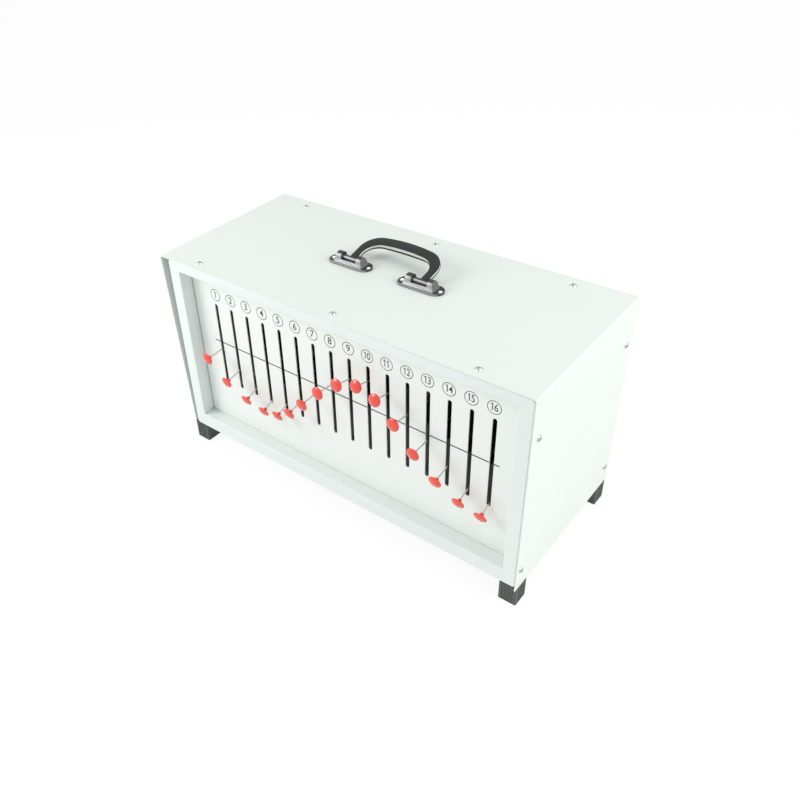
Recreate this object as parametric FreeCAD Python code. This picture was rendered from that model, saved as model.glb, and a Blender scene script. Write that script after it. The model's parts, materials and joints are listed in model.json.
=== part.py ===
# Wave motion demonstrator: a sheet-steel case whose slotted front panel lets sixteen
# wire arms with red caps out, each lifted and lowered by its own grooved eccentric disc.
# Millimetres. X runs along the row of arms, the front faces -Y and +Z is up. Every function
# draws about a point on the table under the case's middle. The finished pieces are moved
# together so that the origin lies on the table, under the middle of the whole apparatus.
import FreeCAD, Part
import math
import os
from FreeCAD import Vector

# Case
CASE_WIDTH = 475.0          # over the front frame's sides
CASE_DEPTH = 215.0
CASE_HEIGHT = 241.0         # from the case's underside to the top of the cover
SHEET = 1.2                 # steel sheet of every folded piece
BEND_RADIUS = 2.5           # outside radius of the folds
COVER_GAP = 0.3             # between the cover and what it is pulled over
COVER_SKIRT = 5.0           # how far the right leg reaches below the case's underside
LEFT_LEG_LIFT = 2.0         # the left leg ends this far above the case's underside
LEFT_OFFSET_TOP = 13.8      # the cover's left leg stands this far off the frame at the top
LEFT_OFFSET_FOOT = 4.7      # and this far at its lower edge

# Front frame and panel
FRAME_SIDE = 16.3           # width of the frame's upright bars
FRAME_TOP_BAR = 13.4
FRAME_FOOT_BAR = 19.1
FRAME_CORNER = 3.0
RECESS_DEPTH = 17.0         # from the frame's front to the panel's face
FRAME_FLANGE = 19.0         # flanges that the cover's screws bite into, at the front
BACK_FLANGE = 24.0          # and at the back
LIP_WIDTH = 6.0             # lip behind the recess that carries the panel
PANEL_LAP = 7.5             # how far the panel reaches past the window
SLOT_WIDTH = 5.0
SLOT_LENGTH = 112.0
SLOT_CENTRE = 133.0         # above the case's underside

# Base tray
TRAY_FLANGE = 12.0

# Feet
FOOT_HEIGHT = 30.0
FOOT_SIZE = 21.0
RIGHT_FOOT_PROUD = 0.5      # beyond the cover's legs
LEFT_FOOT_PROUD = 4.9
FOOT_FRONT_INSET = 3.5
FOOT_BACK_INSET = 3.0
FOOT_RIB_PITCH = 3.0
FOOT_RIB_DEPTH = 0.5
FOOT_EDGE = 1.2
FOOT_SCREW_LENGTH = 13.5

# Arms
ARM_COUNT = 16
ROW_LEFT_MARGIN = 53.0      # from the frame's left side to the first arm
ROW_RIGHT_MARGIN = 47.0     # from the last arm to the frame's right side
ARMS_PER_WAVE = 12
CREST_ARM = 10              # the arm at the crest of the wave
CREST_PHASE = 2.0           # degrees past the crest at which the shaft has stopped
PIVOT_SETBACK = 158.5       # pivot rod behind the frame's front
PIVOT_HEIGHT = 133.2        # above the case's underside
PIVOT_ROD_DIAMETER = 5.0
CAP_STANDOFF = 26.0         # a level cap's rim in front of the panel
SWING_MEAN = -3.2           # degrees, cap up is positive
SWING_HALF_ANGLE = 17.9
WIRE_DIAMETER = 1.5
HUB_DIAMETER = 8.0
HUB_PLAY = 0.6              # side gap between neighbouring hubs
BLADE_HEIGHT = 8.0
BLADE_THICKNESS = 2.0
BLADE_LENGTH = 62.0
WIRE_LAP = 14.0             # length of wire brazed along the blade
PIN_REACH = 45.0            # follower pin from the pivot
PIN_DIAMETER = 3.0
RUNNING_FIT = 0.05          # radial clearance of every turning bore
SIDE_CLEARANCE = 0.3        # sideways gap between a pin's tip and its disc

# Caps
CAP_DIAMETER = 15.2
CAP_DOME = 2.4              # height of the domed front
CAP_RIM = 0.8
CAP_NECK_DIAMETER = 4.4
CAP_NECK_LENGTH = 2.8
CAP_FLARE = 2.6             # length over which the neck flares out to the rim

# Drive shaft and eccentric discs
SHAFT_DIAMETER = 8.0
SHAFT_TAIL = 2.0            # shaft showing past its right-hand collar
SHAFT_DROP = 31.5           # shaft below the follower pins' mean place
DISC_THICKNESS = 6.0
DISC_SIDE_GAP = 4.0         # from the blade's face to the disc's face
GROOVE_DEPTH = 2.0
GROOVE_PLAY = 0.4
DISC_RIM = 3.0              # outside the groove
HUB_GAP = 1.3               # from the outer hubs to the bearing brackets

# Bearing brackets
BRACKET_THICKNESS = 2.0
BRACKET_FOOT = 16.0
BRACKET_MARGIN = 14.0       # metal around the shaft and pivot bores
BUSH_WALL = 2.0
BUSH_FLANGE = 2.0
BUSH_FLANGE_THICKNESS = 1.5
COLLAR_DIAMETER = 18.0
COLLAR_LENGTH = 8.0
NUT_ACROSS_FLATS = 8.0
NUT_THICKNESS = 4.0
ROD_TAIL = 3.0              # thread showing past each nut
RIVET_DIAMETER = 4.0
RIVET_HEAD = 7.0
RIVET_HEAD_HEIGHT = 1.8

# Crank
SHAFT_HOLE_GAP = 2.0        # around the shaft where it leaves the cover
CRANK_RADIUS = 50.0
CRANK_GAP = 8.0             # from the cover to the crank arm, at the shaft
CRANK_THICKNESS = 5.0
CRANK_HUB_DIAMETER = 18.0
CRANK_TIP_DIAMETER = 13.0
CRANK_REST_ANGLE = 215.0    # degrees from the front, the way the knob points at rest
SPINDLE_DIAMETER = 6.0
SPINDLE_HEAD = 10.0
SPINDLE_HEAD_THICKNESS = 2.0
KNOB_LENGTH = 34.0
KNOB_DIAMETER = 22.0
KNOB_PLAY = 0.5
SET_SCREW_DIAMETER = 4.0
SET_SCREW_LENGTH = 6.0

# Screws
SCREW_DIAMETER = 4.0
SCREW_HEAD = 7.0
SCREW_HEAD_HEIGHT = 2.2
SCREW_LENGTH = 9.0
TOP_SCREW_FRONT = 12.1      # behind the cover's front edge
TOP_SCREW_BACK = 16.5       # in front of its back edge
TOP_SCREW_PLACES = (-196.3, 1.3, 172.6)
HIGH_SCREW_FRONT = 13.1     # upper screws of a side
HIGH_SCREW_BACK = 15.5
HIGH_SCREW_HEIGHT = 190.6
LOW_SCREW_FRONT = 8.0       # lower screws of a side
LOW_SCREW_BACK = 12.4
LOW_SCREW_HEIGHT = 21.3
CROSS_SLOT = 0.9
CROSS_DEPTH = 0.9

# Handle
HANDLE_MIDDLE = 0.0         # sideways, from the case's middle
HANDLE_SPAN = 104.2
HANDLE_RISE = 44.0          # barrel to the outside of the grip
HANDLE_BOW = 6.3            # how much the grip is bowed
HANDLE_BAR = 11.9
HANDLE_LEG = 8.6
HANDLE_TUCK = 0.6           # how far the legs stand in at the barrels
HANDLE_FOOT = 1.6           # the legs end this far above the barrels' axis
HANDLE_ROOT = 6.0           # and each is one solid block up to here
HANDLE_CORNER = 23.7
HANDLE_INNER_CORNER = 18.5
HANDLE_WAIST = 4.6          # thickness at the legs
HANDLE_BULGE = 9.1          # thickness in the middle of the grip
FRONT_SHARE = 0.17          # dark front layer, as a share of the thickness
BACK_SHARE = 0.38           # dark back layer
HANDLE_TILT = 75.0          # degrees that the handle leans back from upright
CORE_INSET = 0.3

# Handle mounts and barrels
MOUNT_SHIFT = 3.55          # from a mount's middle to the leg that stands in it
MOUNT_LENGTH = 56.5
MOUNT_WIDTH = 20.0
MOUNT_PLATE = 2.6           # thickness at the raised rim
MOUNT_RIM = 1.0
MOUNT_SUNK = 0.8            # depth of the plate's face below its rim
MOUNT_SCREW_HEAD = 5.6
MOUNT_SCREW_GAP = 0.1       # between a screw's head and the plate's rim
MOUNT_SCREW_HEAD_HEIGHT = 0.9
HOOD_OPEN_LEFT = 9.5        # the two hoods' open ends, from the mount's middle
HOOD_OPEN_RIGHT = 10.9
HOOD_FOOT = 19.3            # the hoods' closed ends at the plate
HOOD_SLOPE = 3.0            # how far the closed ends lean inwards
HOOD_WIDTH = 15.0
HOOD_WALL = 2.9
SILL_HEIGHT = 4.0           # low wall in front of the barrel, leaning as the hoods do
SILL_THICKNESS = 1.5
BARREL_DIAMETER = 5.4
BARREL_HEIGHT = 7.0         # above the cover
BARREL_LAP = 5.0            # how deep the barrel sits in each hood
BARREL_END_PLAY = 0.3

# Cutting forms reach this far past what they cut
PAST = 1.0

# Worked-out places
FRONT = -CASE_DEPTH / 2
BACK = CASE_DEPTH / 2
FLOOR = FOOT_HEIGHT
TOP = FOOT_HEIGHT + CASE_HEIGHT
RIGHT = CASE_WIDTH / 2
LEFT = -CASE_WIDTH / 2
COVER_LEFT_TOP = LEFT - LEFT_OFFSET_TOP
COVER_LEFT_FOOT = LEFT - LEFT_OFFSET_FOOT
RIGHT_EDGE = FLOOR - COVER_SKIRT
LEFT_EDGE = FLOOR + LEFT_LEG_LIFT
SHELL_RIGHT = RIGHT - SHEET - COVER_GAP
SHELL_TOP = TOP - SHEET - COVER_GAP
WINDOW_LEFT = LEFT + FRAME_SIDE
WINDOW_RIGHT = RIGHT - FRAME_SIDE
WINDOW_TOP = TOP - FRAME_TOP_BAR
WINDOW_FOOT = FLOOR + FRAME_FOOT_BAR
PANEL_FACE = FRONT + RECESS_DEPTH
PIVOT_Y = FRONT + PIVOT_SETBACK
PIVOT_Z = FLOOR + PIVOT_HEIGHT
FIRST_ARM_X = LEFT + ROW_LEFT_MARGIN
LAST_ARM_X = RIGHT - ROW_RIGHT_MARGIN
ARM_PITCH = (LAST_ARM_X - FIRST_ARM_X) / (ARM_COUNT - 1)
HUB_LENGTH = ARM_PITCH - HUB_PLAY
SWING_LOW = SWING_MEAN - SWING_HALF_ANGLE
SWING_HIGH = SWING_MEAN + SWING_HALF_ANGLE
BRACKET_LEFT = FIRST_ARM_X - HUB_LENGTH / 2 - HUB_GAP - BRACKET_THICKNESS
BRACKET_RIGHT = LAST_ARM_X + HUB_LENGTH / 2 + HUB_GAP
TRAY_FLOOR = FLOOR + 2 * SHEET
ARM_REACH = PIVOT_SETBACK - RECESS_DEPTH + CAP_STANDOFF
COVER_MIDDLE = (COVER_LEFT_TOP + RIGHT) / 2
LEG_SPACING = HANDLE_SPAN - 2 * HANDLE_TUCK - HANDLE_LEG
MOUNT_LEFT = HANDLE_MIDDLE - LEG_SPACING / 2 - MOUNT_SHIFT
MOUNT_RIGHT = HANDLE_MIDDLE + LEG_SPACING / 2 - MOUNT_SHIFT
MOUNT_FACE = TOP + MOUNT_PLATE - MOUNT_SUNK
BARREL_Z = TOP + BARREL_HEIGHT


def box(x0, x1, y0, y1, z0, z1):
    return Part.makeBox(x1 - x0, y1 - y0, z1 - z0, Vector(x0, y0, z0))


def rod_x(x0, x1, y, z, diameter):
    return Part.makeCylinder(diameter / 2, x1 - x0, Vector(x0, y, z), Vector(1, 0, 0))


def rod_y(y0, y1, x, z, diameter):
    return Part.makeCylinder(diameter / 2, y1 - y0, Vector(x, y0, z), Vector(0, 1, 0))


def rod_z(z0, z1, x, y, diameter):
    return Part.makeCylinder(diameter / 2, z1 - z0, Vector(x, y, z0), Vector(0, 0, 1))


def joined(shapes):
    return shapes[0].multiFuse(shapes[1:]).removeSplitter()


def prism(points, direction):
    closed = [Vector(*p) for p in points]
    return Part.Face(Part.makePolygon(closed + closed[:1])).extrude(direction)


def edges_along(shape, axis, test):
    found = []
    for edge in shape.Edges:
        if edge.Curve.TypeId != "Part::GeomLine" or len(edge.Vertexes) != 2:
            continue
        run = edge.Vertexes[1].Point - edge.Vertexes[0].Point
        if abs(abs(run.normalize().dot(axis)) - 1) < 1e-6 and test(edge.CenterOfMass):
            found.append(edge)
    return found


X_AXIS = Vector(1, 0, 0)
Y_AXIS = Vector(0, 1, 0)
Z_AXIS = Vector(0, 0, 1)


# The leaning left leg of the cover, as a line in the XZ plane
def cover_left_x(z, depth=0.0):
    slope = (COVER_LEFT_FOOT - COVER_LEFT_TOP) / (TOP - LEFT_EDGE)
    lean = math.hypot(1, slope)
    return COVER_LEFT_TOP + (TOP - z) * slope + depth * lean


def cover_left_angle():
    return math.degrees(math.atan((COVER_LEFT_FOOT - COVER_LEFT_TOP) / (TOP - LEFT_EDGE)))


# Pan-head screw along +Z with its seat at the origin and the shank downwards
def pan_screw(head, height, shank, length):
    ball_radius = (head * head / 4 + height * height) / (2 * height)
    ball = Part.makeSphere(ball_radius, Vector(0, 0, height - ball_radius))
    dome = ball.common(rod_z(0, height, 0, 0, head))
    reach = head * 0.3
    low = height - min(CROSS_DEPTH, height / 2)
    slots = joined([box(-reach, reach, -CROSS_SLOT / 2, CROSS_SLOT / 2, low, height),
                    box(-CROSS_SLOT / 2, CROSS_SLOT / 2, -reach, reach, low, height)])
    return dome.cut(slots).fuse(rod_z(-length, 0, 0, 0, shank)).removeSplitter()


def aimed(shape, x, y, z, axis, angle):
    placed = shape.copy()
    placed.rotate(Vector(0, 0, 0), axis, angle)
    placed.translate(Vector(x, y, z))
    return placed


def top_screw_points():
    rows = (FRONT + TOP_SCREW_FRONT, BACK - TOP_SCREW_BACK)
    return [(x, y) for y in rows for x in TOP_SCREW_PLACES]


def left_screw_points():
    return [(y, FLOOR + LOW_SCREW_HEIGHT) for y in (FRONT + LOW_SCREW_FRONT, BACK - LOW_SCREW_BACK)]


def right_screw_points():
    high = [(y, FLOOR + HIGH_SCREW_HEIGHT) for y in (FRONT + HIGH_SCREW_FRONT, BACK - HIGH_SCREW_BACK)]
    return left_screw_points() + high


def case_screw_holes():
    holes = []
    for x, y in top_screw_points():
        holes.append(rod_z(TOP - 2 * SCREW_LENGTH, TOP + PAST, x, y, SCREW_DIAMETER))
    for y, z in right_screw_points():
        holes.append(rod_x(RIGHT - 2 * SCREW_LENGTH, RIGHT + PAST, y, z, SCREW_DIAMETER))
    for y, z in left_screw_points():
        shank = rod_z(-SCREW_LENGTH * 2, SCREW_LENGTH, 0, 0, SCREW_DIAMETER)
        holes.append(aimed(shank, cover_left_x(z), y, z, Y_AXIS, -90 - cover_left_angle()))
    return Part.makeCompound(holes)


def case_screws():
    screw = pan_screw(SCREW_HEAD, SCREW_HEAD_HEIGHT, SCREW_DIAMETER, SCREW_LENGTH)
    screws = [aimed(screw, x, y, TOP, Z_AXIS, 0) for x, y in top_screw_points()]
    screws += [aimed(screw, RIGHT, y, z, Y_AXIS, 90) for y, z in right_screw_points()]
    for y, z in left_screw_points():
        screws.append(aimed(screw, cover_left_x(z), y, z, Y_AXIS, -90 - cover_left_angle()))
    return Part.makeCompound(screws)


def shaft_centre():
    mean = math.radians(SWING_MEAN)
    return PIVOT_Y - PIN_REACH * math.cos(mean), PIVOT_Z + PIN_REACH * math.sin(mean) - SHAFT_DROP


def cover():
    outside = [(RIGHT, RIGHT_EDGE), (RIGHT, TOP), (COVER_LEFT_TOP, TOP), (COVER_LEFT_FOOT, LEFT_EDGE)]
    inside = [(cover_left_x(LEFT_EDGE, SHEET), LEFT_EDGE), (cover_left_x(TOP - SHEET, SHEET), TOP - SHEET),
              (RIGHT - SHEET, TOP - SHEET), (RIGHT - SHEET, RIGHT_EDGE)]
    shell = prism([(x, FRONT, z) for x, z in outside + inside], Vector(0, CASE_DEPTH, 0))
    shell = shell.makeFillet(BEND_RADIUS, edges_along(shell, Y_AXIS, lambda c: c.z > TOP - SHEET / 2))
    inner_folds = edges_along(shell, Y_AXIS, lambda c: abs(c.z - TOP + SHEET) < SHEET / 4)
    inner_folds = [e for e in inner_folds if abs(abs(e.CenterOfMass.x - COVER_MIDDLE)
                                                 - (RIGHT - COVER_LEFT_TOP) / 2) < 2 * BEND_RADIUS]
    shell = shell.makeFillet(BEND_RADIUS - SHEET, inner_folds)
    shaft_y, shaft_z = shaft_centre()
    hole = SHAFT_DIAMETER + 2 * SHAFT_HOLE_GAP
    shell = shell.cut(rod_x(COVER_LEFT_TOP - PAST, COVER_LEFT_FOOT + FRAME_SIDE, shaft_y, shaft_z, hole))
    return shell.cut(case_screw_holes()).cut(handle_mount_screw_holes())


def flanged_plate(plate_y0, plate_y1, flange_y0, flange_y1):
    body = box(LEFT, SHELL_RIGHT, flange_y0, flange_y1, FLOOR, SHELL_TOP)
    body = body.makeFillet(FRAME_CORNER, edges_along(body, Y_AXIS, lambda c: True))
    hollow = box(LEFT + SHEET, SHELL_RIGHT - SHEET, flange_y0 - PAST, flange_y1 + PAST,
                 FLOOR + SHEET, SHELL_TOP - SHEET)
    hollow = hollow.makeFillet(FRAME_CORNER - SHEET, edges_along(hollow, Y_AXIS, lambda c: True))
    keep = box(LEFT, RIGHT, plate_y0, plate_y1, FLOOR, TOP)
    return body.cut(hollow.cut(keep))


def front_frame():
    shell = flanged_plate(FRONT, FRONT + SHEET, FRONT, FRONT + FRAME_FLANGE)
    wall = box(WINDOW_LEFT - SHEET, WINDOW_RIGHT + SHEET, FRONT, PANEL_FACE,
               WINDOW_FOOT - SHEET, WINDOW_TOP + SHEET)
    lip = box(WINDOW_LEFT - LIP_WIDTH, WINDOW_RIGHT + LIP_WIDTH, PANEL_FACE - SHEET, PANEL_FACE,
              WINDOW_FOOT - LIP_WIDTH, WINDOW_TOP + LIP_WIDTH)
    window = box(WINDOW_LEFT, WINDOW_RIGHT, FRONT - PAST, PANEL_FACE + PAST, WINDOW_FOOT, WINDOW_TOP)
    shell = joined([shell, wall, lip]).cut(window)
    rim = [e for e in shell.Edges
           if abs(e.BoundBox.YMin - FRONT) < 1e-6 and abs(e.BoundBox.YMax - FRONT) < 1e-6]
    shell = shell.makeFillet(min(1.0, SHEET * 0.8), rim)
    return shell.cut(case_screw_holes()).cut(foot_screw_holes())


def arm_places():
    return [FIRST_ARM_X + ARM_PITCH * i for i in range(ARM_COUNT)]


def front_panel():
    sheet = box(WINDOW_LEFT - PANEL_LAP, WINDOW_RIGHT + PANEL_LAP, PANEL_FACE, PANEL_FACE + SHEET,
                WINDOW_FOOT - PANEL_LAP, WINDOW_TOP + PANEL_LAP)
    middle = FLOOR + SLOT_CENTRE
    half = (SLOT_LENGTH - SLOT_WIDTH) / 2
    slots = []
    for x in arm_places():
        y0 = PANEL_FACE - PAST
        y1 = PANEL_FACE + SHEET + PAST
        slots.append(box(x - SLOT_WIDTH / 2, x + SLOT_WIDTH / 2, y0, y1, middle - half, middle + half))
        slots += [rod_y(y0, y1, x, middle + side * half, SLOT_WIDTH) for side in (-1, 1)]
    return sheet.cut(Part.makeCompound(slots)).removeSplitter()


def base_tray():
    body = box(LEFT + SHEET + COVER_GAP, SHELL_RIGHT - SHEET - COVER_GAP, FRONT + SHEET + COVER_GAP,
               BACK - SHEET - COVER_GAP, FLOOR + SHEET, FLOOR + SHEET + TRAY_FLANGE)
    low_edges = edges_along(body, Y_AXIS, lambda c: c.z < FLOOR + 2 * SHEET)
    body = body.makeFillet(FRAME_CORNER - SHEET, low_edges)
    hollow = box(LEFT + 2 * SHEET + COVER_GAP, SHELL_RIGHT - 2 * SHEET - COVER_GAP,
                 FRONT + 2 * SHEET + COVER_GAP, BACK - 2 * SHEET - COVER_GAP,
                 TRAY_FLOOR, FLOOR + SHEET + TRAY_FLANGE + PAST)
    return body.cut(hollow).cut(foot_screw_holes()).cut(rivet_holes())


def back_panel():
    shell = flanged_plate(BACK - SHEET, BACK, BACK - BACK_FLANGE, BACK)
    return shell.cut(case_screw_holes()).cut(foot_screw_holes())


# Each foot's left and front sides, and the height of its post: under the right leg it is cut down
def foot_places():
    right = RIGHT + RIGHT_FOOT_PROUD - FOOT_SIZE
    left = COVER_LEFT_FOOT - LEFT_FOOT_PROUD
    rows = (FRONT + FOOT_FRONT_INSET, BACK - FOOT_BACK_INSET - FOOT_SIZE)
    return [(x, y, top) for y in rows for x, top in ((left, FLOOR), (right, RIGHT_EDGE - COVER_GAP))]


def foot(x, y, post_top):
    post = box(x, x + FOOT_SIZE, y, y + FOOT_SIZE, 0, post_top)
    post = post.makeFillet(FOOT_EDGE, edges_along(post, Z_AXIS, lambda c: True))
    count = int((FOOT_SIZE - 2 * FOOT_EDGE - FOOT_RIB_PITCH / 2) // FOOT_RIB_PITCH)
    first = (FOOT_SIZE - (count - 1) * FOOT_RIB_PITCH) / 2
    low, high = FOOT_EDGE, post_top - FOOT_EDGE
    cuts = []
    for i in range(count):
        s = first + i * FOOT_RIB_PITCH - FOOT_RIB_PITCH / 4
        e = s + FOOT_RIB_PITCH / 2
        for edge in (0, FOOT_SIZE - FOOT_RIB_DEPTH):
            cuts.append(box(x + s, x + e, y + edge, y + edge + FOOT_RIB_DEPTH, low, high))
            cuts.append(box(x + edge, x + edge + FOOT_RIB_DEPTH, y + s, y + e, low, high))
    post = post.cut(Part.makeCompound(cuts))
    if post_top < FLOOR:
        plug_right = min(x + FOOT_SIZE - FOOT_EDGE, RIGHT - SHEET - COVER_GAP)
        plug = box(x + FOOT_EDGE, plug_right, y + FOOT_EDGE, y + FOOT_SIZE - FOOT_EDGE, post_top, FLOOR)
        post = post.fuse(plug)
    return post.removeSplitter()


# A foot's screw stands in the middle of what the foot and the tray's floor share
def foot_screw_points():
    x_low = LEFT + 2 * SHEET + COVER_GAP
    x_high = SHELL_RIGHT - 2 * SHEET - COVER_GAP
    y_low = FRONT + 2 * SHEET + COVER_GAP
    y_high = BACK - 2 * SHEET - COVER_GAP
    points = []
    for x, y, _ in foot_places():
        x0, x1 = max(x, x_low), min(x + FOOT_SIZE, x_high)
        y0, y1 = max(y, y_low), min(y + FOOT_SIZE, y_high)
        points.append(((x0 + x1) / 2, (y0 + y1) / 2))
    return points


def foot_screw_holes():
    low = TRAY_FLOOR - FOOT_SCREW_LENGTH
    return Part.makeCompound([rod_z(low, TRAY_FLOOR + PAST, x, y, SCREW_DIAMETER)
                              for x, y in foot_screw_points()])


def feet():
    posts = [foot(*place) for place in foot_places()]
    return Part.makeCompound([post.cut(foot_screw_holes()) for post in posts])


def foot_screws():
    screw = pan_screw(SCREW_HEAD, SCREW_HEAD_HEIGHT, SCREW_DIAMETER, FOOT_SCREW_LENGTH)
    return Part.makeCompound([aimed(screw, x, y, TRAY_FLOOR, Z_AXIS, 0) for x, y in foot_screw_points()])


def bracket_span():
    shaft_y, _ = shaft_centre()
    return shaft_y - BRACKET_MARGIN, PIVOT_Y + BRACKET_MARGIN, PIVOT_Z + BRACKET_MARGIN


# Each bracket is an angle whose foot points away from the arms
def bearing_bracket(x0, outward):
    y0, y1, top = bracket_span()
    x1 = x0 + BRACKET_THICKNESS
    shaft_y, shaft_z = shaft_centre()
    corner = top - shaft_z - BRACKET_MARGIN
    plate = prism([(x0, y0, TRAY_FLOOR), (x0, y1, TRAY_FLOOR), (x0, y1, top),
                   (x0, y0 + corner, top), (x0, y0, top - corner)], Vector(BRACKET_THICKNESS, 0, 0))
    if outward < 0:
        foot_plate = box(x1 - BRACKET_FOOT, x1, y0, y1, TRAY_FLOOR, TRAY_FLOOR + BRACKET_THICKNESS)
    else:
        foot_plate = box(x0, x0 + BRACKET_FOOT, y0, y1, TRAY_FLOOR, TRAY_FLOOR + BRACKET_THICKNESS)
    shaft_bore = rod_x(x0 - PAST, x1 + PAST, shaft_y, shaft_z, bush_outside())
    rod_bore = rod_x(x0 - PAST, x1 + PAST, PIVOT_Y, PIVOT_Z, PIVOT_ROD_DIAMETER)
    return plate.fuse(foot_plate).removeSplitter().cut(shaft_bore).cut(rod_bore).cut(rivet_holes())


def rivet_points():
    y0, y1, _ = bracket_span()
    half = BRACKET_THICKNESS + (BRACKET_FOOT - BRACKET_THICKNESS) / 2
    rows = (y0 + BRACKET_MARGIN, y1 - BRACKET_MARGIN)
    columns = (BRACKET_LEFT + BRACKET_THICKNESS - half, BRACKET_RIGHT + half)
    return [(x, y) for x in columns for y in rows]


def rivet_holes():
    return Part.makeCompound([rod_z(FLOOR, TRAY_FLOOR + BRACKET_THICKNESS + PAST, x, y, RIVET_DIAMETER)
                              for x, y in rivet_points()])


def bracket_rivets():
    seat = TRAY_FLOOR + BRACKET_THICKNESS
    ball = (RIVET_HEAD * RIVET_HEAD / 4 + RIVET_HEAD_HEIGHT ** 2) / (2 * RIVET_HEAD_HEIGHT)
    rivets = []
    for x, y in rivet_points():
        head = Part.makeSphere(ball, Vector(x, y, seat + RIVET_HEAD_HEIGHT - ball))
        head = head.common(rod_z(seat, seat + RIVET_HEAD_HEIGHT, x, y, RIVET_HEAD))
        rivets.append(head.fuse(rod_z(FLOOR + SHEET, seat, x, y, RIVET_DIAMETER)).removeSplitter())
    return Part.makeCompound(rivets)


def bush_outside():
    return SHAFT_DIAMETER + 2 * RUNNING_FIT + 2 * BUSH_WALL


def shaft_bushes():
    y, z = shaft_centre()
    bushes = []
    for x, outward in ((BRACKET_LEFT, -1), (BRACKET_RIGHT, 1)):
        sleeve = rod_x(x, x + BRACKET_THICKNESS, y, z, bush_outside())
        face = x if outward < 0 else x + BRACKET_THICKNESS
        ends = sorted((face, face + outward * BUSH_FLANGE_THICKNESS))
        flange = rod_x(ends[0], ends[1], y, z, bush_outside() + 2 * BUSH_FLANGE)
        reach = BUSH_FLANGE_THICKNESS + PAST
        bore = rod_x(x - reach, x + BRACKET_THICKNESS + reach, y, z, SHAFT_DIAMETER + 2 * RUNNING_FIT)
        bushes.append(sleeve.fuse(flange).removeSplitter().cut(bore))
    return Part.makeCompound(bushes)


def pivot_rod():
    reach = NUT_THICKNESS + ROD_TAIL
    return rod_x(BRACKET_LEFT - reach, BRACKET_RIGHT + BRACKET_THICKNESS + reach, PIVOT_Y, PIVOT_Z,
                 PIVOT_ROD_DIAMETER)


def hexagon_x(x0, x1, y, z, across_flats):
    radius = across_flats / math.sqrt(3)
    corners = [(x0, y + radius * math.cos(math.radians(60 * i)), z + radius * math.sin(math.radians(60 * i)))
               for i in range(6)]
    return prism(corners, Vector(x1 - x0, 0, 0))


def pivot_rod_nuts():
    nuts = []
    for x in (BRACKET_LEFT - NUT_THICKNESS, BRACKET_RIGHT + BRACKET_THICKNESS):
        nut = hexagon_x(x, x + NUT_THICKNESS, PIVOT_Y, PIVOT_Z, NUT_ACROSS_FLATS)
        nuts.append(nut.cut(rod_x(x - PAST, x + NUT_THICKNESS + PAST, PIVOT_Y, PIVOT_Z, PIVOT_ROD_DIAMETER)))
    return Part.makeCompound(nuts)


# Rest angle of an arm, with the cap up as positive
def rest_angle(number):
    turn = 360.0 / ARMS_PER_WAVE * (number - CREST_ARM) - CREST_PHASE
    return SWING_MEAN + SWING_HALF_ANGLE * math.cos(math.radians(turn))


# Turns a shape that was drawn level, pointing to the front from the pivot
def at_arm(shape, number):
    placed = shape.copy()
    placed.translate(Vector(FIRST_ARM_X + ARM_PITCH * (number - 1), PIVOT_Y, PIVOT_Z))
    placed.rotate(Vector(0, PIVOT_Y, PIVOT_Z), X_AXIS, -rest_angle(number))
    return placed


def level_arm():
    hub = rod_x(-HUB_LENGTH / 2, HUB_LENGTH / 2, 0, 0, HUB_DIAMETER)
    blade = box(-BLADE_THICKNESS / 2, BLADE_THICKNESS / 2, -BLADE_LENGTH, 0,
                -BLADE_HEIGHT / 2, BLADE_HEIGHT / 2)
    nose = edges_along(blade, X_AXIS, lambda c: c.y < -BLADE_LENGTH / 2)
    blade = blade.makeFillet(BLADE_HEIGHT * 0.45, nose)
    wire = rod_y(-ARM_REACH - CAP_RIM, -BLADE_LENGTH + WIRE_LAP, 0, 0, WIRE_DIAMETER)
    pin = rod_x(0, BLADE_THICKNESS / 2 + DISC_SIDE_GAP - SIDE_CLEARANCE, -PIN_REACH, 0, PIN_DIAMETER)
    bore = rod_x(-HUB_LENGTH, HUB_LENGTH, 0, 0, PIVOT_ROD_DIAMETER + 2 * RUNNING_FIT)
    return joined([hub, blade, wire, pin]).cut(bore)


# The cap is turned about its stem: neck, flare, rim and domed front
def level_cap():
    rim = CAP_DIAMETER / 2
    neck = CAP_NECK_DIAMETER / 2
    back = -ARM_REACH + CAP_FLARE + CAP_NECK_LENGTH - CAP_RIM
    flare_start = -ARM_REACH + CAP_FLARE
    face = -ARM_REACH - CAP_RIM
    middle_radius = neck + (rim - neck) * 0.38
    flare = Part.Arc(Vector(0, flare_start, neck), Vector(0, -ARM_REACH + CAP_FLARE * 0.38, middle_radius),
                     Vector(0, -ARM_REACH, rim))
    dome_middle = rim * 0.71
    ball = (rim * rim + CAP_DOME * CAP_DOME) / (2 * CAP_DOME)
    dome_depth = CAP_DOME - ball + math.sqrt(ball * ball - dome_middle * dome_middle)
    dome = Part.Arc(Vector(0, face, rim), Vector(0, face - dome_depth, dome_middle),
                    Vector(0, face - CAP_DOME, 0))
    line = Part.makeLine
    outline = Part.Wire([line(Vector(0, back, 0), Vector(0, back, neck)),
                         line(Vector(0, back, neck), Vector(0, flare_start, neck)),
                         flare.toShape(),
                         line(Vector(0, -ARM_REACH, rim), Vector(0, face, rim)),
                         dome.toShape(),
                         line(Vector(0, face - CAP_DOME, 0), Vector(0, back, 0))])
    cap = Part.Face(outline).revolve(Vector(0, 0, 0), Y_AXIS, 360)
    if cap.Volume < 0:
        cap.reverse()
    socket = rod_y(-ARM_REACH - CAP_RIM, back + PAST, 0, 0, WIRE_DIAMETER)
    return cap.cut(socket)


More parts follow.
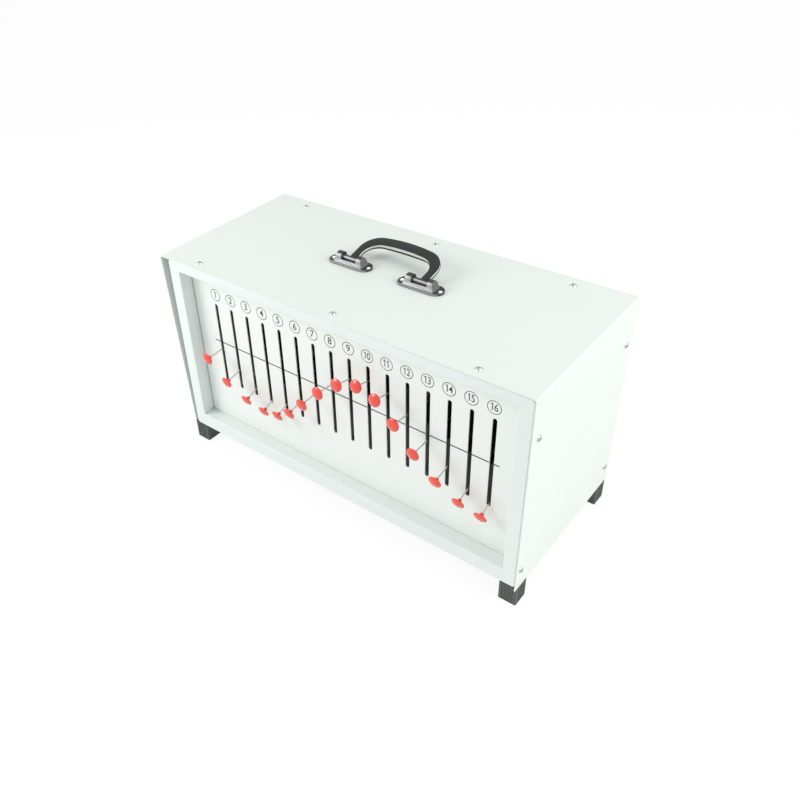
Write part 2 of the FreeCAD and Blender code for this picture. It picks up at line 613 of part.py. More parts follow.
def drive_shaft():
    y, z = shaft_centre()
    left_end = crank_face() - CRANK_THICKNESS
    collar_start = BRACKET_RIGHT + BRACKET_THICKNESS + BUSH_FLANGE_THICKNESS + SIDE_CLEARANCE
    return rod_x(left_end, collar_start + COLLAR_LENGTH + SHAFT_TAIL, y, z, SHAFT_DIAMETER)


# Where a follower pin is, from the pivot, at a given swing of its arm
def pin_offset(angle):
    return -PIN_REACH * math.cos(math.radians(angle)), PIN_REACH * math.sin(math.radians(angle))


def pin_to_shaft(angle):
    shaft_y, shaft_z = shaft_centre()
    pin_y, pin_z = pin_offset(angle)
    return PIVOT_Y + pin_y - shaft_y, PIVOT_Z + pin_z - shaft_z


# The throw and the groove's radius follow from the arm's two ends of travel
def eccentric_sizes():
    far = math.hypot(*pin_to_shaft(SWING_HIGH))
    near = math.hypot(*pin_to_shaft(SWING_LOW))
    return (far - near) / 2, (far + near) / 2


# Each disc is turned on the shaft until its groove lies over its arm's pin
def disc_turn(number):
    throw, groove = eccentric_sizes()
    dy, dz = pin_to_shaft(rest_angle(number))
    distance = math.hypot(dy, dz)
    cosine = (distance ** 2 + throw ** 2 - groove ** 2) / (2 * distance * throw)
    swing = math.degrees(math.acos(max(-1.0, min(1.0, cosine))))
    phase = 360.0 / ARMS_PER_WAVE * (number - CREST_ARM) - CREST_PHASE
    side = 1 if math.sin(math.radians(phase)) >= 0 else -1
    return math.degrees(math.atan2(dz, dy)) + side * swing


def eccentric_discs():
    throw, groove = eccentric_sizes()
    shaft_y, shaft_z = shaft_centre()
    groove_half = PIN_DIAMETER / 2 + GROOVE_PLAY / 2
    radius = groove + groove_half + DISC_RIM
    discs = []
    for number, x in enumerate(arm_places(), start=1):
        turn = math.radians(disc_turn(number))
        y = shaft_y + throw * math.cos(turn)
        z = shaft_z + throw * math.sin(turn)
        x0 = x + BLADE_THICKNESS / 2 + DISC_SIDE_GAP
        disc = rod_x(x0, x0 + DISC_THICKNESS, y, z, 2 * radius)
        ring = rod_x(x0 - PAST, x0 + GROOVE_DEPTH, y, z, 2 * (groove + groove_half))
        ring = ring.cut(rod_x(x0 - 2 * PAST, x0 + GROOVE_DEPTH + PAST, y, z, 2 * (groove - groove_half)))
        bore = rod_x(x0 - PAST, x0 + DISC_THICKNESS + PAST, shaft_y, shaft_z, SHAFT_DIAMETER)
        discs.append(disc.cut(ring).cut(bore))
    return Part.makeCompound(discs)


def shaft_collars():
    y, z = shaft_centre()
    gap = BUSH_FLANGE_THICKNESS + SIDE_CLEARANCE
    collars = []
    for x in (BRACKET_LEFT - gap - COLLAR_LENGTH, BRACKET_RIGHT + BRACKET_THICKNESS + gap):
        collar = rod_x(x, x + COLLAR_LENGTH, y, z, COLLAR_DIAMETER)
        collars.append(collar.cut(rod_x(x - PAST, x + COLLAR_LENGTH + PAST, y, z, SHAFT_DIAMETER)))
    return Part.makeCompound(collars)


# Right-hand face of the crank arm, clear of the leaning leg over the whole crank circle
def crank_face():
    _, shaft_z = shaft_centre()
    return cover_left_x(shaft_z + CRANK_RADIUS) - CRANK_GAP


def crank_tip():
    y, z = shaft_centre()
    turn = math.radians(CRANK_REST_ANGLE)
    return y - CRANK_RADIUS * math.cos(turn), z + CRANK_RADIUS * math.sin(turn)


def crank_arm():
    y, z = shaft_centre()
    tip_y, tip_z = crank_tip()
    x1 = crank_face()
    x0 = x1 - CRANK_THICKNESS
    hub = rod_x(x0, x1 + CRANK_GAP / 2, y, z, CRANK_HUB_DIAMETER)
    tip = rod_x(x0, x1, tip_y, tip_z, CRANK_TIP_DIAMETER)
    along = Vector(0, tip_y - y, tip_z - z).normalize()
    across = along.cross(X_AXIS)
    start = Vector(x0, y, z)
    end = Vector(x0, tip_y, tip_z)
    half_root = CRANK_HUB_DIAMETER * 0.42
    half_tip = CRANK_TIP_DIAMETER * 0.45
    corners = [start + across * half_root, end + across * half_tip, end - across * half_tip,
               start - across * half_root]
    web = prism([tuple(c) for c in corners], Vector(CRANK_THICKNESS, 0, 0))
    arm = joined([hub, tip, web])
    arm = arm.cut(rod_x(x0 - PAST, x1 + CRANK_GAP, y, z, SHAFT_DIAMETER))
    arm = arm.cut(rod_x(x0 - PAST, x1 + PAST, tip_y, tip_z, SPINDLE_DIAMETER))
    return arm.cut(set_screw_rod())


def set_screw_rod():
    y, z = shaft_centre()
    x = crank_face() + CRANK_GAP / 4 - CRANK_THICKNESS / 4
    return rod_z(z, z + CRANK_HUB_DIAMETER, x, y, SET_SCREW_DIAMETER)


def crank_set_screw():
    y, z = shaft_centre()
    x = crank_face() + CRANK_GAP / 4 - CRANK_THICKNESS / 4
    low = z + SHAFT_DIAMETER / 2
    screw = rod_z(low, low + SET_SCREW_LENGTH, x, y, SET_SCREW_DIAMETER)
    driver = rod_z(low + SET_SCREW_LENGTH / 2, low + SET_SCREW_LENGTH, x, y, SET_SCREW_DIAMETER / 2)
    return screw.cut(driver)


def knob_spindle():
    y, z = crank_tip()
    x1 = crank_face()
    outer = x1 - CRANK_THICKNESS - KNOB_PLAY - KNOB_LENGTH
    shank = rod_x(outer - KNOB_PLAY, x1, y, z, SPINDLE_DIAMETER)
    head = rod_x(outer - KNOB_PLAY - SPINDLE_HEAD_THICKNESS, outer - KNOB_PLAY, y, z, SPINDLE_HEAD)
    return shank.fuse(head).removeSplitter()


def crank_knob():
    y, z = crank_tip()
    x1 = crank_face() - CRANK_THICKNESS - KNOB_PLAY
    x0 = x1 - KNOB_LENGTH
    radius = KNOB_DIAMETER / 2
    root = radius * 0.62
    swell = Part.Arc(Vector(x1, 0, root), Vector(x0 + KNOB_LENGTH * 0.35, 0, radius),
                     Vector(x0 + 2, 0, radius * 0.72)).toShape()
    line = Part.makeLine
    outline = Part.Wire([line(Vector(x1, 0, 0), Vector(x1, 0, root)), swell,
                         line(Vector(x0 + 2, 0, radius * 0.72), Vector(x0, 0, radius * 0.55)),
                         line(Vector(x0, 0, radius * 0.55), Vector(x0, 0, 0)),
                         line(Vector(x0, 0, 0), Vector(x1, 0, 0))])
    knob = Part.Face(outline).revolve(Vector(0, 0, 0), X_AXIS, 360)
    if knob.Volume < 0:
        knob.reverse()
    knob.translate(Vector(0, y, z))
    return knob.cut(rod_x(x0 - PAST, x1 + PAST, y, z, SPINDLE_DIAMETER + 2 * RUNNING_FIT))


def mount_screw_points():
    half = MOUNT_LENGTH / 2 - MOUNT_RIM - MOUNT_SCREW_GAP - MOUNT_SCREW_HEAD / 2
    return [(centre + side * half, 0.0) for centre in (MOUNT_LEFT, MOUNT_RIGHT) for side in (-1, 1)]


def handle_mount_screw_holes():
    return Part.makeCompound([rod_z(TOP - 2 * SCREW_LENGTH, MOUNT_FACE + PAST, x, y, SCREW_DIAMETER)
                              for x, y in mount_screw_points()])


def stadium(centre, length, width, z0, z1):
    half = (length - width) / 2
    return joined([box(centre - half, centre + half, -width / 2, width / 2, z0, z1),
                   rod_z(z0, z1, centre - half, 0, width), rod_z(z0, z1, centre + half, 0, width)])


def hood_crown():
    return BARREL_DIAMETER / 2 + HOOD_WALL


# One hood of a mount, open towards the mount's middle and sloping at its closed end
def hood(centre, side, open_end):
    crown = hood_crown()
    near = centre + side * open_end
    far = centre + side * HOOD_FOOT
    x0, x1 = sorted((near, far))
    arch_part = rod_x(x0, x1, 0, BARREL_Z, 2 * crown)
    skirt = prism([(x0, -HOOD_WIDTH / 2, MOUNT_FACE), (x0, HOOD_WIDTH / 2, MOUNT_FACE),
                   (x0, crown, BARREL_Z), (x0, -crown, BARREL_Z)], Vector(x1 - x0, 0, 0))
    above = box(x0, x1, -HOOD_WIDTH, HOOD_WIDTH, MOUNT_FACE, BARREL_Z + crown)
    body = arch_part.fuse(skirt).removeSplitter().common(above)
    top = BARREL_Z + crown
    slope = prism([(far, -HOOD_WIDTH, MOUNT_FACE), (far, -HOOD_WIDTH, top + PAST),
                   (far - side * HOOD_SLOPE, -HOOD_WIDTH, top + PAST)], Vector(0, 2 * HOOD_WIDTH, 0))
    return body.cut(slope)


# The low wall that joins the two hoods in front of the barrel
def sill(centre):
    start = centre - HOOD_OPEN_LEFT
    low = -HOOD_WIDTH / 2
    high = low + (HOOD_WIDTH / 2 - hood_crown()) * SILL_HEIGHT / (BARREL_Z - MOUNT_FACE)
    top = MOUNT_FACE + SILL_HEIGHT
    corners = [(start, low, MOUNT_FACE), (start, low + SILL_THICKNESS, MOUNT_FACE),
               (start, high + SILL_THICKNESS, top), (start, high, top)]
    return prism(corners, Vector(HOOD_OPEN_LEFT + HOOD_OPEN_RIGHT, 0, 0))


def handle_mount(centre):
    plate = stadium(centre, MOUNT_LENGTH, MOUNT_WIDTH, TOP, TOP + MOUNT_PLATE)
    upper_rim = [e for e in plate.Edges if e.BoundBox.ZMin > TOP + MOUNT_PLATE - 1e-6]
    plate = plate.makeFillet(MOUNT_RIM * 0.6, upper_rim)
    plate = plate.cut(stadium(centre, MOUNT_LENGTH - 2 * MOUNT_RIM, MOUNT_WIDTH - 2 * MOUNT_RIM,
                              MOUNT_FACE, TOP + MOUNT_PLATE + PAST))
    body = joined([plate, hood(centre, -1, HOOD_OPEN_LEFT), hood(centre, 1, HOOD_OPEN_RIGHT), sill(centre)])
    start, end = barrel_span(centre)
    bore = rod_x(start - BARREL_END_PLAY, end + BARREL_END_PLAY, 0, BARREL_Z,
                 BARREL_DIAMETER + 2 * RUNNING_FIT)
    return body.cut(bore).cut(handle_mount_screw_holes())


def barrel_span(centre):
    return centre - HOOD_OPEN_LEFT - BARREL_LAP, centre + HOOD_OPEN_RIGHT + BARREL_LAP


def handle_mount_screws():
    screw = pan_screw(MOUNT_SCREW_HEAD, MOUNT_SCREW_HEAD_HEIGHT, SCREW_DIAMETER, SCREW_LENGTH)
    return Part.makeCompound([aimed(screw, x, y, MOUNT_FACE, Z_AXIS, 0) for x, y in mount_screw_points()])


def handle_barrels():
    spans = [barrel_span(centre) for centre in (MOUNT_LEFT, MOUNT_RIGHT)]
    return Part.makeCompound([rod_x(start, end, 0, BARREL_Z, BARREL_DIAMETER) for start, end in spans])


# An outline of the handle, upright about the barrels: two legs, round corners and a bowed top
def arch(half_span, rise, bow, corner, y0, y1):
    shoulder = rise - bow
    left = [Vector(HANDLE_TUCK - half_span, y0, 0), Vector(-half_span, y0, shoulder)]
    right = [Vector(-p.x, p.y, p.z) for p in reversed(left)]
    sides = [Part.makeLine(*left), Part.makeLine(*right), Part.makeLine(right[-1], left[0])]
    sides.append(Part.Arc(left[-1], Vector(0, y0, rise), right[0]).toShape())
    solid = Part.Face(Part.Wire(Part.__sortEdges__(sides))).extrude(Vector(0, y1 - y0, 0))
    corners = edges_along(solid, Y_AXIS, lambda c: abs(c.z - shoulder) < 1e-3)
    return solid.makeFillet(corner, corners)


def upright_arch(inset):
    outer = arch(HANDLE_SPAN / 2 - inset, HANDLE_RISE - inset, HANDLE_BOW, HANDLE_CORNER - inset,
                 -HANDLE_BULGE, HANDLE_BULGE)
    inner = arch(HANDLE_SPAN / 2 - HANDLE_LEG + inset, HANDLE_RISE - HANDLE_BAR + inset, HANDLE_BOW * 0.6,
                 HANDLE_INNER_CORNER + inset, -HANDLE_BULGE - PAST, HANDLE_BULGE + PAST)
    return outer.cut(inner)


# A layer of the grip between two shares of its thickness, thicker in the middle than at the legs.
# It runs on past the legs, still thinning
def layer(share0, share1):
    beyond = 1.1
    half = HANDLE_SPAN / 2 * beyond
    end = HANDLE_BULGE + (HANDLE_WAIST - HANDLE_BULGE) * beyond ** 2
    edges = []
    for share in (share0, share1):
        level = share - 0.5
        arc = Part.Arc(Vector(-half, level * end, 0), Vector(0, level * HANDLE_BULGE, 0),
                       Vector(half, level * end, 0))
        edges.append(arc.toShape())
    for x in (-half, half):
        edges.append(Part.makeLine(Vector(x, (share0 - 0.5) * end, 0), Vector(x, (share1 - 0.5) * end, 0)))
    face = Part.Face(Part.Wire(Part.__sortEdges__(edges)))
    return face.extrude(Vector(0, 0, 2 * HANDLE_RISE))


def placed_handle(shape):
    placed = shape.copy()
    placed.translate(Vector(HANDLE_MIDDLE, 0, BARREL_Z))
    placed.rotate(Vector(0, 0, BARREL_Z), X_AXIS, -HANDLE_TILT)
    return placed


# The pale layer starts above the solid roots of the legs
def core_layer():
    roots = box(-HANDLE_SPAN, HANDLE_SPAN, -HANDLE_SPAN, HANDLE_SPAN, -PAST, HANDLE_ROOT)
    return layer(FRONT_SHARE, 1 - BACK_SHARE).cut(roots)


# Each leg ends in a saddle on its barrel
def handle_grip():
    below = box(-HANDLE_SPAN, HANDLE_SPAN, -HANDLE_SPAN, HANDLE_SPAN, -PAST, HANDLE_FOOT)
    barrel = rod_x(-HANDLE_SPAN, HANDLE_SPAN, 0, 0, BARREL_DIAMETER)
    body = upright_arch(0).common(layer(0, 1)).cut(core_layer())
    return placed_handle(body.cut(below).cut(barrel))


def handle_core():
    return placed_handle(upright_arch(CORE_INSET).common(core_layer()))


def sub_parts():
    parts = {
        "cover": cover(),
        "front_frame": front_frame(),
        "front_panel": front_panel(),
        "base_tray": base_tray(),
        "back_panel": back_panel(),
        "feet": feet(),
        "foot_screws": foot_screws(),
        "case_screws": case_screws(),
        "bearing_bracket_left": bearing_bracket(BRACKET_LEFT, -1),
        "bearing_bracket_right": bearing_bracket(BRACKET_RIGHT, 1),
        "bracket_rivets": bracket_rivets(),
        "shaft_bushes": shaft_bushes(),
        "pivot_rod": pivot_rod(),
        "pivot_rod_nuts": pivot_rod_nuts(),
        "handle_mount_left": handle_mount(MOUNT_LEFT),
        "handle_mount_right": handle_mount(MOUNT_RIGHT),
        "handle_mount_screws": handle_mount_screws(),
        "handle_barrels": handle_barrels(),
        "handle_grip": handle_grip(),
        "handle_core": handle_core(),
        "drive_shaft": drive_shaft(),
        "eccentric_discs": eccentric_discs(),
        "shaft_collars": shaft_collars(),
        "crank_arm": crank_arm(),
        "crank_set_screw": crank_set_screw(),
        "knob_spindle": knob_spindle(),
        "crank_knob": crank_knob(),
    }
    arm = level_arm()
    cap = level_cap()
    for number in range(1, ARM_COUNT + 1):
        parts[f"arm_{number:02d}"] = at_arm(arm, number)
        parts[f"cap_{number:02d}"] = at_arm(cap, number)
    return parts


# From the point under the case's middle to the point under the whole apparatus' middle
def shift_to_middle(shapes):
    boxes = [shape.optimalBoundingBox() for shape in shapes]
    x = (min(b.XMin for b in boxes) + max(b.XMax for b in boxes)) / 2
    y = (min(b.YMin for b in boxes) + max(b.YMax for b in boxes)) / 2
    return Vector(-x, -y, 0)


os.makedirs("parts", exist_ok=True)
pieces = sub_parts()
shift = shift_to_middle(pieces.values())
for name, shape in pieces.items():
    shape.translate(shift)
    shape.exportStep(f"parts/{name}.step")
    bounds = shape.BoundBox
    print(f"{name}: {len(shape.Solids)} solid(s), valid {shape.isValid()}, {shape.Volume / 1000:.2f} cm3, "
          f"x {bounds.XMin:.1f} to {bounds.XMax:.1f}, y {bounds.YMin:.1f} to {bounds.YMax:.1f}, "
          f"z {bounds.ZMin:.1f} to {bounds.ZMax:.1f}")
throw, groove = eccentric_sizes()
shaft_y, shaft_z = shaft_centre()
tip_y, tip_z = crank_tip()
print(f"shift x {shift.x:.4f} y {shift.y:.4f}")
print(f"shaft at y {shaft_y + shift.y:.4f} z {shaft_z:.4f}")
print(f"pivot at y {PIVOT_Y + shift.y:.4f} z {PIVOT_Z:.4f}, swing {SWING_LOW:.2f} to {SWING_HIGH:.2f}")
print(f"throw {throw:.2f}, groove radius {groove:.2f}")
print(f"crank tip at y {tip_y + shift.y:.4f} z {tip_z:.4f}, barrels at y {shift.y:.4f} z {BARREL_Z:.4f}")
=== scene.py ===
# %% [markdown]
# A wave model for the classroom. Sixteen wire arms with red caps reach out through slots in
# a white steel case, and a crank makes them pass a wave along the row. The case, the arms
# and the mechanism come in as finished solids, each in its place. This lesson loads them,
# gives them their finishes, models the small parts whose roundness and print make the
# picture, and lights the whole as a shop would.

import json
import math

import bpy
from mathutils import Matrix, Vector


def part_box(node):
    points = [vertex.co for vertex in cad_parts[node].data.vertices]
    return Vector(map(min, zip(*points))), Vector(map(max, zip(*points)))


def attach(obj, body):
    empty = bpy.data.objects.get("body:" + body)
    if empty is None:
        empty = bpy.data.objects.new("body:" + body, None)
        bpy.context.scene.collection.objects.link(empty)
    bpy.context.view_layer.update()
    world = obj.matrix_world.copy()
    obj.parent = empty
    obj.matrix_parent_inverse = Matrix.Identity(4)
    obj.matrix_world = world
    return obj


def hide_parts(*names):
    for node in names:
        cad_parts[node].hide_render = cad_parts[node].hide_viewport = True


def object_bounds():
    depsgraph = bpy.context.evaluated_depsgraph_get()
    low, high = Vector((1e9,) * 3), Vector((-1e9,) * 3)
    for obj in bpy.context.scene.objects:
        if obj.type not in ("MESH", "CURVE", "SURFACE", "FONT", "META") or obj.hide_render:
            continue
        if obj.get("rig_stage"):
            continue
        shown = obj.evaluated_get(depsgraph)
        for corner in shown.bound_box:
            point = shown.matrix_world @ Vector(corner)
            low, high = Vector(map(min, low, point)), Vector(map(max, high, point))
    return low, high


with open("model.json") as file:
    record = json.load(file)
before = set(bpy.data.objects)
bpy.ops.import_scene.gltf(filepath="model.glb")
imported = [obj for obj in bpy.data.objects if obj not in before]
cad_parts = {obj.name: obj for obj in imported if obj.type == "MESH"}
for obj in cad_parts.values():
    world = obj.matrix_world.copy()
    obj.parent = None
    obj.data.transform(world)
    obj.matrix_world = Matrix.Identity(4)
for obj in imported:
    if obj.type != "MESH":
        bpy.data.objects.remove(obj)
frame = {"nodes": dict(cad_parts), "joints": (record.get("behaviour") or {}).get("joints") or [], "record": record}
cad_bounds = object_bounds()
solids = frame["nodes"]
joints = {joint["name"]: joint for joint in frame["joints"]}
MM = 0.001
print("solids:", len(solids), "joints:", len(joints))

# %% [markdown]
# The camera comes first, because every choice of finish is judged through it. It stands
# high on the right, looks down across the front of the case, and keeps the distance that
# the converging edges of the case ask for.

# %% Camera
EYE = Vector((506.2, -629.9, 698.6)) * MM
AHEAD = Vector((-0.5339, 0.6061, -0.5895)).normalized()
ACROSS = Vector((0.7731, 0.6323, -0.0500)).normalized()
SENSOR, FOCAL_LENGTH = 36.0, 36.98
SHIFT = (0.0784, -0.0104)

lens = bpy.data.cameras.new("bench_view")
lens.sensor_width = SENSOR
lens.lens = FOCAL_LENGTH
lens.shift_x, lens.shift_y = SHIFT
camera = bpy.data.objects.new("bench_view", lens)
bpy.context.scene.collection.objects.link(camera)
upward = ACROSS.cross(AHEAD)
facing = Matrix((ACROSS, upward, -AHEAD)).transposed().to_4x4()
camera.matrix_world = Matrix.Translation(EYE) @ facing
bpy.context.scene.camera = camera
bpy.context.scene.view_settings.view_transform = "Standard"
print("camera at", [round(v, 3) for v in EYE])

# %% [markdown]
# Finishes are small sums of patterns. Written out as nodes they are hard to read, so one
# class stands for a socket and lets Python's own signs add the nodes: two patterns can be
# multiplied or subtracted as if they were numbers.


# %% A socket that can be reckoned with
class Pattern:
    def __init__(self, finish, socket):
        self.finish = finish
        self.socket = socket

    def sum(self, operation, first, second):
        return self.finish.add("Math", {"operation": operation}, first, second)

    def __add__(self, other):
        return self.sum("ADD", self, other)

    def __mul__(self, other):
        return self.sum("MULTIPLY", self, other)

    def __sub__(self, other):
        return self.sum("SUBTRACT", self, other)

    def __rsub__(self, other):
        return self.sum("SUBTRACT", other, self)

    __radd__ = __add__
    __rmul__ = __mul__

    def under(self, level):
        return self.sum("LESS_THAN", self, level)


# %% [markdown]
# A finish begins at its shader. Numbers that are the same all over go straight onto the
# shader's sockets, and one method adds any node: it's given the node's kind, its settings
# and what feeds its sockets. Every pattern reads a point's place on the object, so that it
# stays where it is when the piece moves.


# %% A finish, from its shader outwards
class Finish:
    def __init__(self, name, **constants):
        self.material = bpy.data.materials.new(name)
        self.material.use_nodes = True
        self.tree = self.material.node_tree
        self.shader = self.tree.nodes["Principled BSDF"]
        for socket, value in constants.items():
            self.shader.inputs[socket.replace("_", " ")].default_value = value

    def feed(self, socket, value):
        if isinstance(value, Pattern):
            self.tree.links.new(value.socket, socket)
        elif hasattr(value, "__len__") and len(value) == 3 and len(socket.default_value) == 4:
            socket.default_value = (*value, 1.0)
        else:
            socket.default_value = value

    def add(self, kind, settings, *places, output=0, **named):
        node = self.tree.nodes.new("ShaderNode" + kind)
        for name, value in settings.items():
            if name == "stops":
                ramp = node.color_ramp.elements
                for element, (place, level) in zip((ramp[0], ramp[1]), value):
                    element.position = place
                    element.color = (level, level, level, 1.0)
            else:
                setattr(node, name, value)
        for key, value in [*enumerate(places), *named.items()]:
            if isinstance(key, str):
                key = key.replace("_", " ")
            self.feed(node.inputs[key], value)
        return Pattern(self, node.outputs[output])

    def where(self):
        return self.add("TexCoord", {}, output="Object")

    def noise(self, scale, detail=2.0, stretch=(1, 1, 1)):
        place = self.add("Mapping", {}, Vector=self.where(), Scale=stretch)
        return self.add("TexNoise", {}, Vector=place, Scale=scale, Detail=detail)

    def along(self, axis):
        return self.add("SeparateXYZ", {}, self.where(), output=axis)

    def ramp(self, pattern, low, high):
        return self.add("ValToRGB", {"stops": ((low, 0.0), (high, 1.0))}, pattern)

    def painted(self, attribute):
        return self.add("Attribute", {"attribute_name": attribute}, output="Fac")

    # This node has its sockets once for each kind of value, and these are the colours' own
    def mixed(self, share, first, second):
        node = self.tree.nodes.new("ShaderNodeMix")
        node.data_type = "RGBA"
        for index, value in ((0, share), (6, first), (7, second)):
            self.feed(node.inputs[index], value)
        return Pattern(self, node.outputs[2])

    def bump(self, height, distance, strength):
        normal = self.add("Bump", {}, Strength=strength, Distance=distance, Height=height)
        self.feed(self.shader.inputs["Normal"], normal)

    def colour(self, pattern):
        self.feed(self.shader.inputs["Base Color"], pattern)

    def roughness(self, pattern):
        self.feed(self.shader.inputs["Roughness"], pattern)


def shade(tint, share):
    return tuple(channel * share for channel in tint)


# %% [markdown]
# The case is folded from steel sheet and sprayed with a thin eggshell enamel. Real enamel
# is never one flat colour: it lies a little thicker in places, has a fine orange-peel
# skin, and dulls where hands have held it. Noises of very different sizes say that, from
# a slow drift of a fifth of a metre to specks of less than a millimetre.
# Where the panel meets the frame's recess, a narrow dark line is painted into the corner. It is painted shade, the
# shadow that falls in the joint, and it is darkest along the left. The panel reaches a little behind the frame, so
# the line starts where the panel shows.


# %% Enamel on the case and the frame
DRIFT, HANDLING, RIPPLE, PEEL, SPECKS = 5.0, 38.0, 55.0, 520.0, 1400.0
PEEL_DEPTH = 0.03 * MM
SHADE_AT_LEFT, SHADE_AT_FOOT, CORNER_SHADE_LEVEL = 0.75, 0.3, 0.12


def enamel(name, tint, dullness, left=None, foot=None):
    finish = Finish(name, Coat_Weight=0.12, Coat_Roughness=0.25)
    drift = finish.noise(DRIFT, 3.0)
    specks = finish.ramp(finish.noise(SPECKS, 1.0), 0.66, 0.78)
    body = finish.mixed(drift, shade(tint, 0.975), shade(tint, 1.015))
    body = finish.mixed(specks * 0.10, body, shade(tint, 0.7))
    # Painted shade: the corner where the panel meets the frame's recess is darkened, more along the left than at
    # the foot
    if left is not None:
        painted_shade = finish.along("X").under(left) * SHADE_AT_LEFT
        painted_shade += finish.along("Z").under(foot) * SHADE_AT_FOOT
        body = finish.mixed(painted_shade, body, shade(tint, CORNER_SHADE_LEVEL))
    finish.colour(body)
    finish.roughness(finish.noise(HANDLING, 4.0) * 0.14 + (dullness - 0.07))
    peel = finish.noise(PEEL, 2.0) + finish.noise(RIPPLE, 2.0) * 0.6
    finish.bump(peel, PEEL_DEPTH, 0.5)
    return finish.material


# %% The case's three enamels
# Where the painted shade line lies: the panel's lap behind the frame, and the line's width along the left and its
# height at the foot
PANEL_LAP = 7.5 * MM
SHADE_LINE_WIDTH, SHADE_LINE_HEIGHT = 1.3 * MM, 0.8 * MM
panel_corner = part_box("front_panel")[0]
shaded_left = panel_corner.x + PANEL_LAP + SHADE_LINE_WIDTH
shaded_foot = panel_corner.z + PANEL_LAP + SHADE_LINE_HEIGHT
case_enamel = enamel("case_enamel", (0.70, 0.753, 0.705), 0.42)
frame_enamel = enamel("frame_enamel", (0.74, 0.80, 0.785), 0.40)
panel_enamel = enamel("panel_enamel", (0.785, 0.827, 0.787), 0.46, shaded_left, shaded_foot)
print("dust lies left of", round(shaded_left, 4), "and below", round(shaded_foot, 4))

# %% [markdown]
# The screws, shaft, brackets and arms are bright steel. Steel takes its look from what it
# reflects, so the colour stays plain and the fine drawing marks go into roughness and
# bump. The marks run along the wire, which is why the noise is stretched one way.


# %% Bright steel and its relatives
ALONG_ROW, ALONG_ARM, EVERY_WAY = (0.05, 1, 1), (1, 0.06, 1), (1, 1, 1)
STAINS, MARK_DEPTH = 45.0, 0.02 * MM


def metal(name, tint, dullness, stretch=EVERY_WAY, marks=900.0):
    finish = Finish(name, Metallic=1.0)
    grain = finish.noise(marks, 3.0, stretch)
    stain = finish.noise(STAINS, 3.0)
    finish.colour(finish.mixed(stain, shade(tint, 0.86), tint))
    finish.roughness(grain * 0.16 + (dullness - 0.05))
    finish.bump(grain, MARK_DEPTH, 0.4)
    return finish.material


wire_steel = metal("wire_steel", (0.62, 0.63, 0.62), 0.27, ALONG_ARM)
rod_steel = metal("rod_steel", (0.60, 0.60, 0.60), 0.24, ALONG_ROW)
zinc = metal("zinc_plate", (0.56, 0.57, 0.57), 0.36, marks=260.0)
screw_nickel = metal("screw_nickel", (0.52, 0.54, 0.52), 0.32, marks=500.0)
bright_screw = metal("bright_screw", (0.86, 0.86, 0.83), 0.16, marks=500.0)
bronze = metal("bush_bronze", (0.60, 0.40, 0.18), 0.38, marks=700.0)
rivet_alloy = metal("rivet_alloy", (0.72, 0.72, 0.74), 0.33, marks=600.0)
METALS = (wire_steel, rod_steel, zinc, screw_nickel, bright_screw, bronze, rivet_alloy)
print("metals:", [finish.name for finish in METALS])

# %% [markdown]
# The moulded parts differ in gloss and grain. The caps are glossy red, the grip is a dark
# plastic with a soft sheen, the crank's knob is polished black, and the discs are turned
# from dark nylon, which keeps its turning marks.


# %% Moulded plastics and rubber
CLOUDS = 90.0


def moulded(name, tint, dullness, grain, depth, coat=0.0, gleam=0.5):
    finish = Finish(name, Coat_Weight=coat, Coat_Roughness=0.12, Specular_IOR_Level=gleam)
    cloud = finish.noise(CLOUDS, 3.0)
    finish.colour(finish.mixed(cloud, shade(tint, 0.88), shade(tint, 1.08)))
    texture = finish.noise(grain, 2.0)
    finish.roughness(texture * 0.12 + (dullness - 0.06))
    finish.bump(texture, depth * MM, 0.6)
    return finish.material


cap_red = moulded("cap_red", (0.80, 0.062, 0.034), 0.24, grain=420.0, depth=0.02, coat=0.5)
grip_dark = moulded("grip_dark", (0.018, 0.024, 0.021), 0.42, grain=1500.0, depth=0.03,
                    gleam=0.25)
# The handle's pale strip is a painted highlight, standing in for the sheen on the glossy grip's rounded inner side
strip_pale = moulded("strip_pale", (0.74, 0.77, 0.74), 0.28, grain=900.0, depth=0.01, coat=0.2)
knob_black = moulded("knob_black", (0.018, 0.018, 0.018), 0.22, grain=600.0, depth=0.01, coat=0.5)
rubber = moulded("foot_rubber", (0.080, 0.094, 0.087), 0.62, grain=1100.0, depth=0.06)
print_ink = moulded("print_ink", (0.040, 0.045, 0.045), 0.55, grain=2500.0, depth=0.01)
nylon = moulded("disc_nylon", (0.060, 0.060, 0.057), 0.50, grain=300.0, depth=0.03)
PLASTICS = (cap_red, grip_dark, strip_pale, knob_black, rubber, print_ink, nylon)
print("plastics:", [finish.name for finish in PLASTICS])

# %% [markdown]
# The handle's mounts are pressed steel. Their colour carries painted light and shade. The faces that look up are
# painted dark, a painted reflection of a dark room above. The fronts and backs are painted light grey, a painted
# highlight. How light a face is painted gets stored on the mesh later, as an attribute that this finish reads.


# %% Painted light and shade on the mounts
# The painted shade of faces that look up, and the painted highlight of the fronts and backs
PAINTED_DARK_TOP, PAINTED_LIT_SIDE = (0.014, 0.018, 0.017), (0.37, 0.39, 0.39)
METAL_FLAKE = (0.30, 0.31, 0.31)
MOTTLE, FLAKES, FLAKE_DEPTH = 260.0, 2600.0, 0.02 * MM


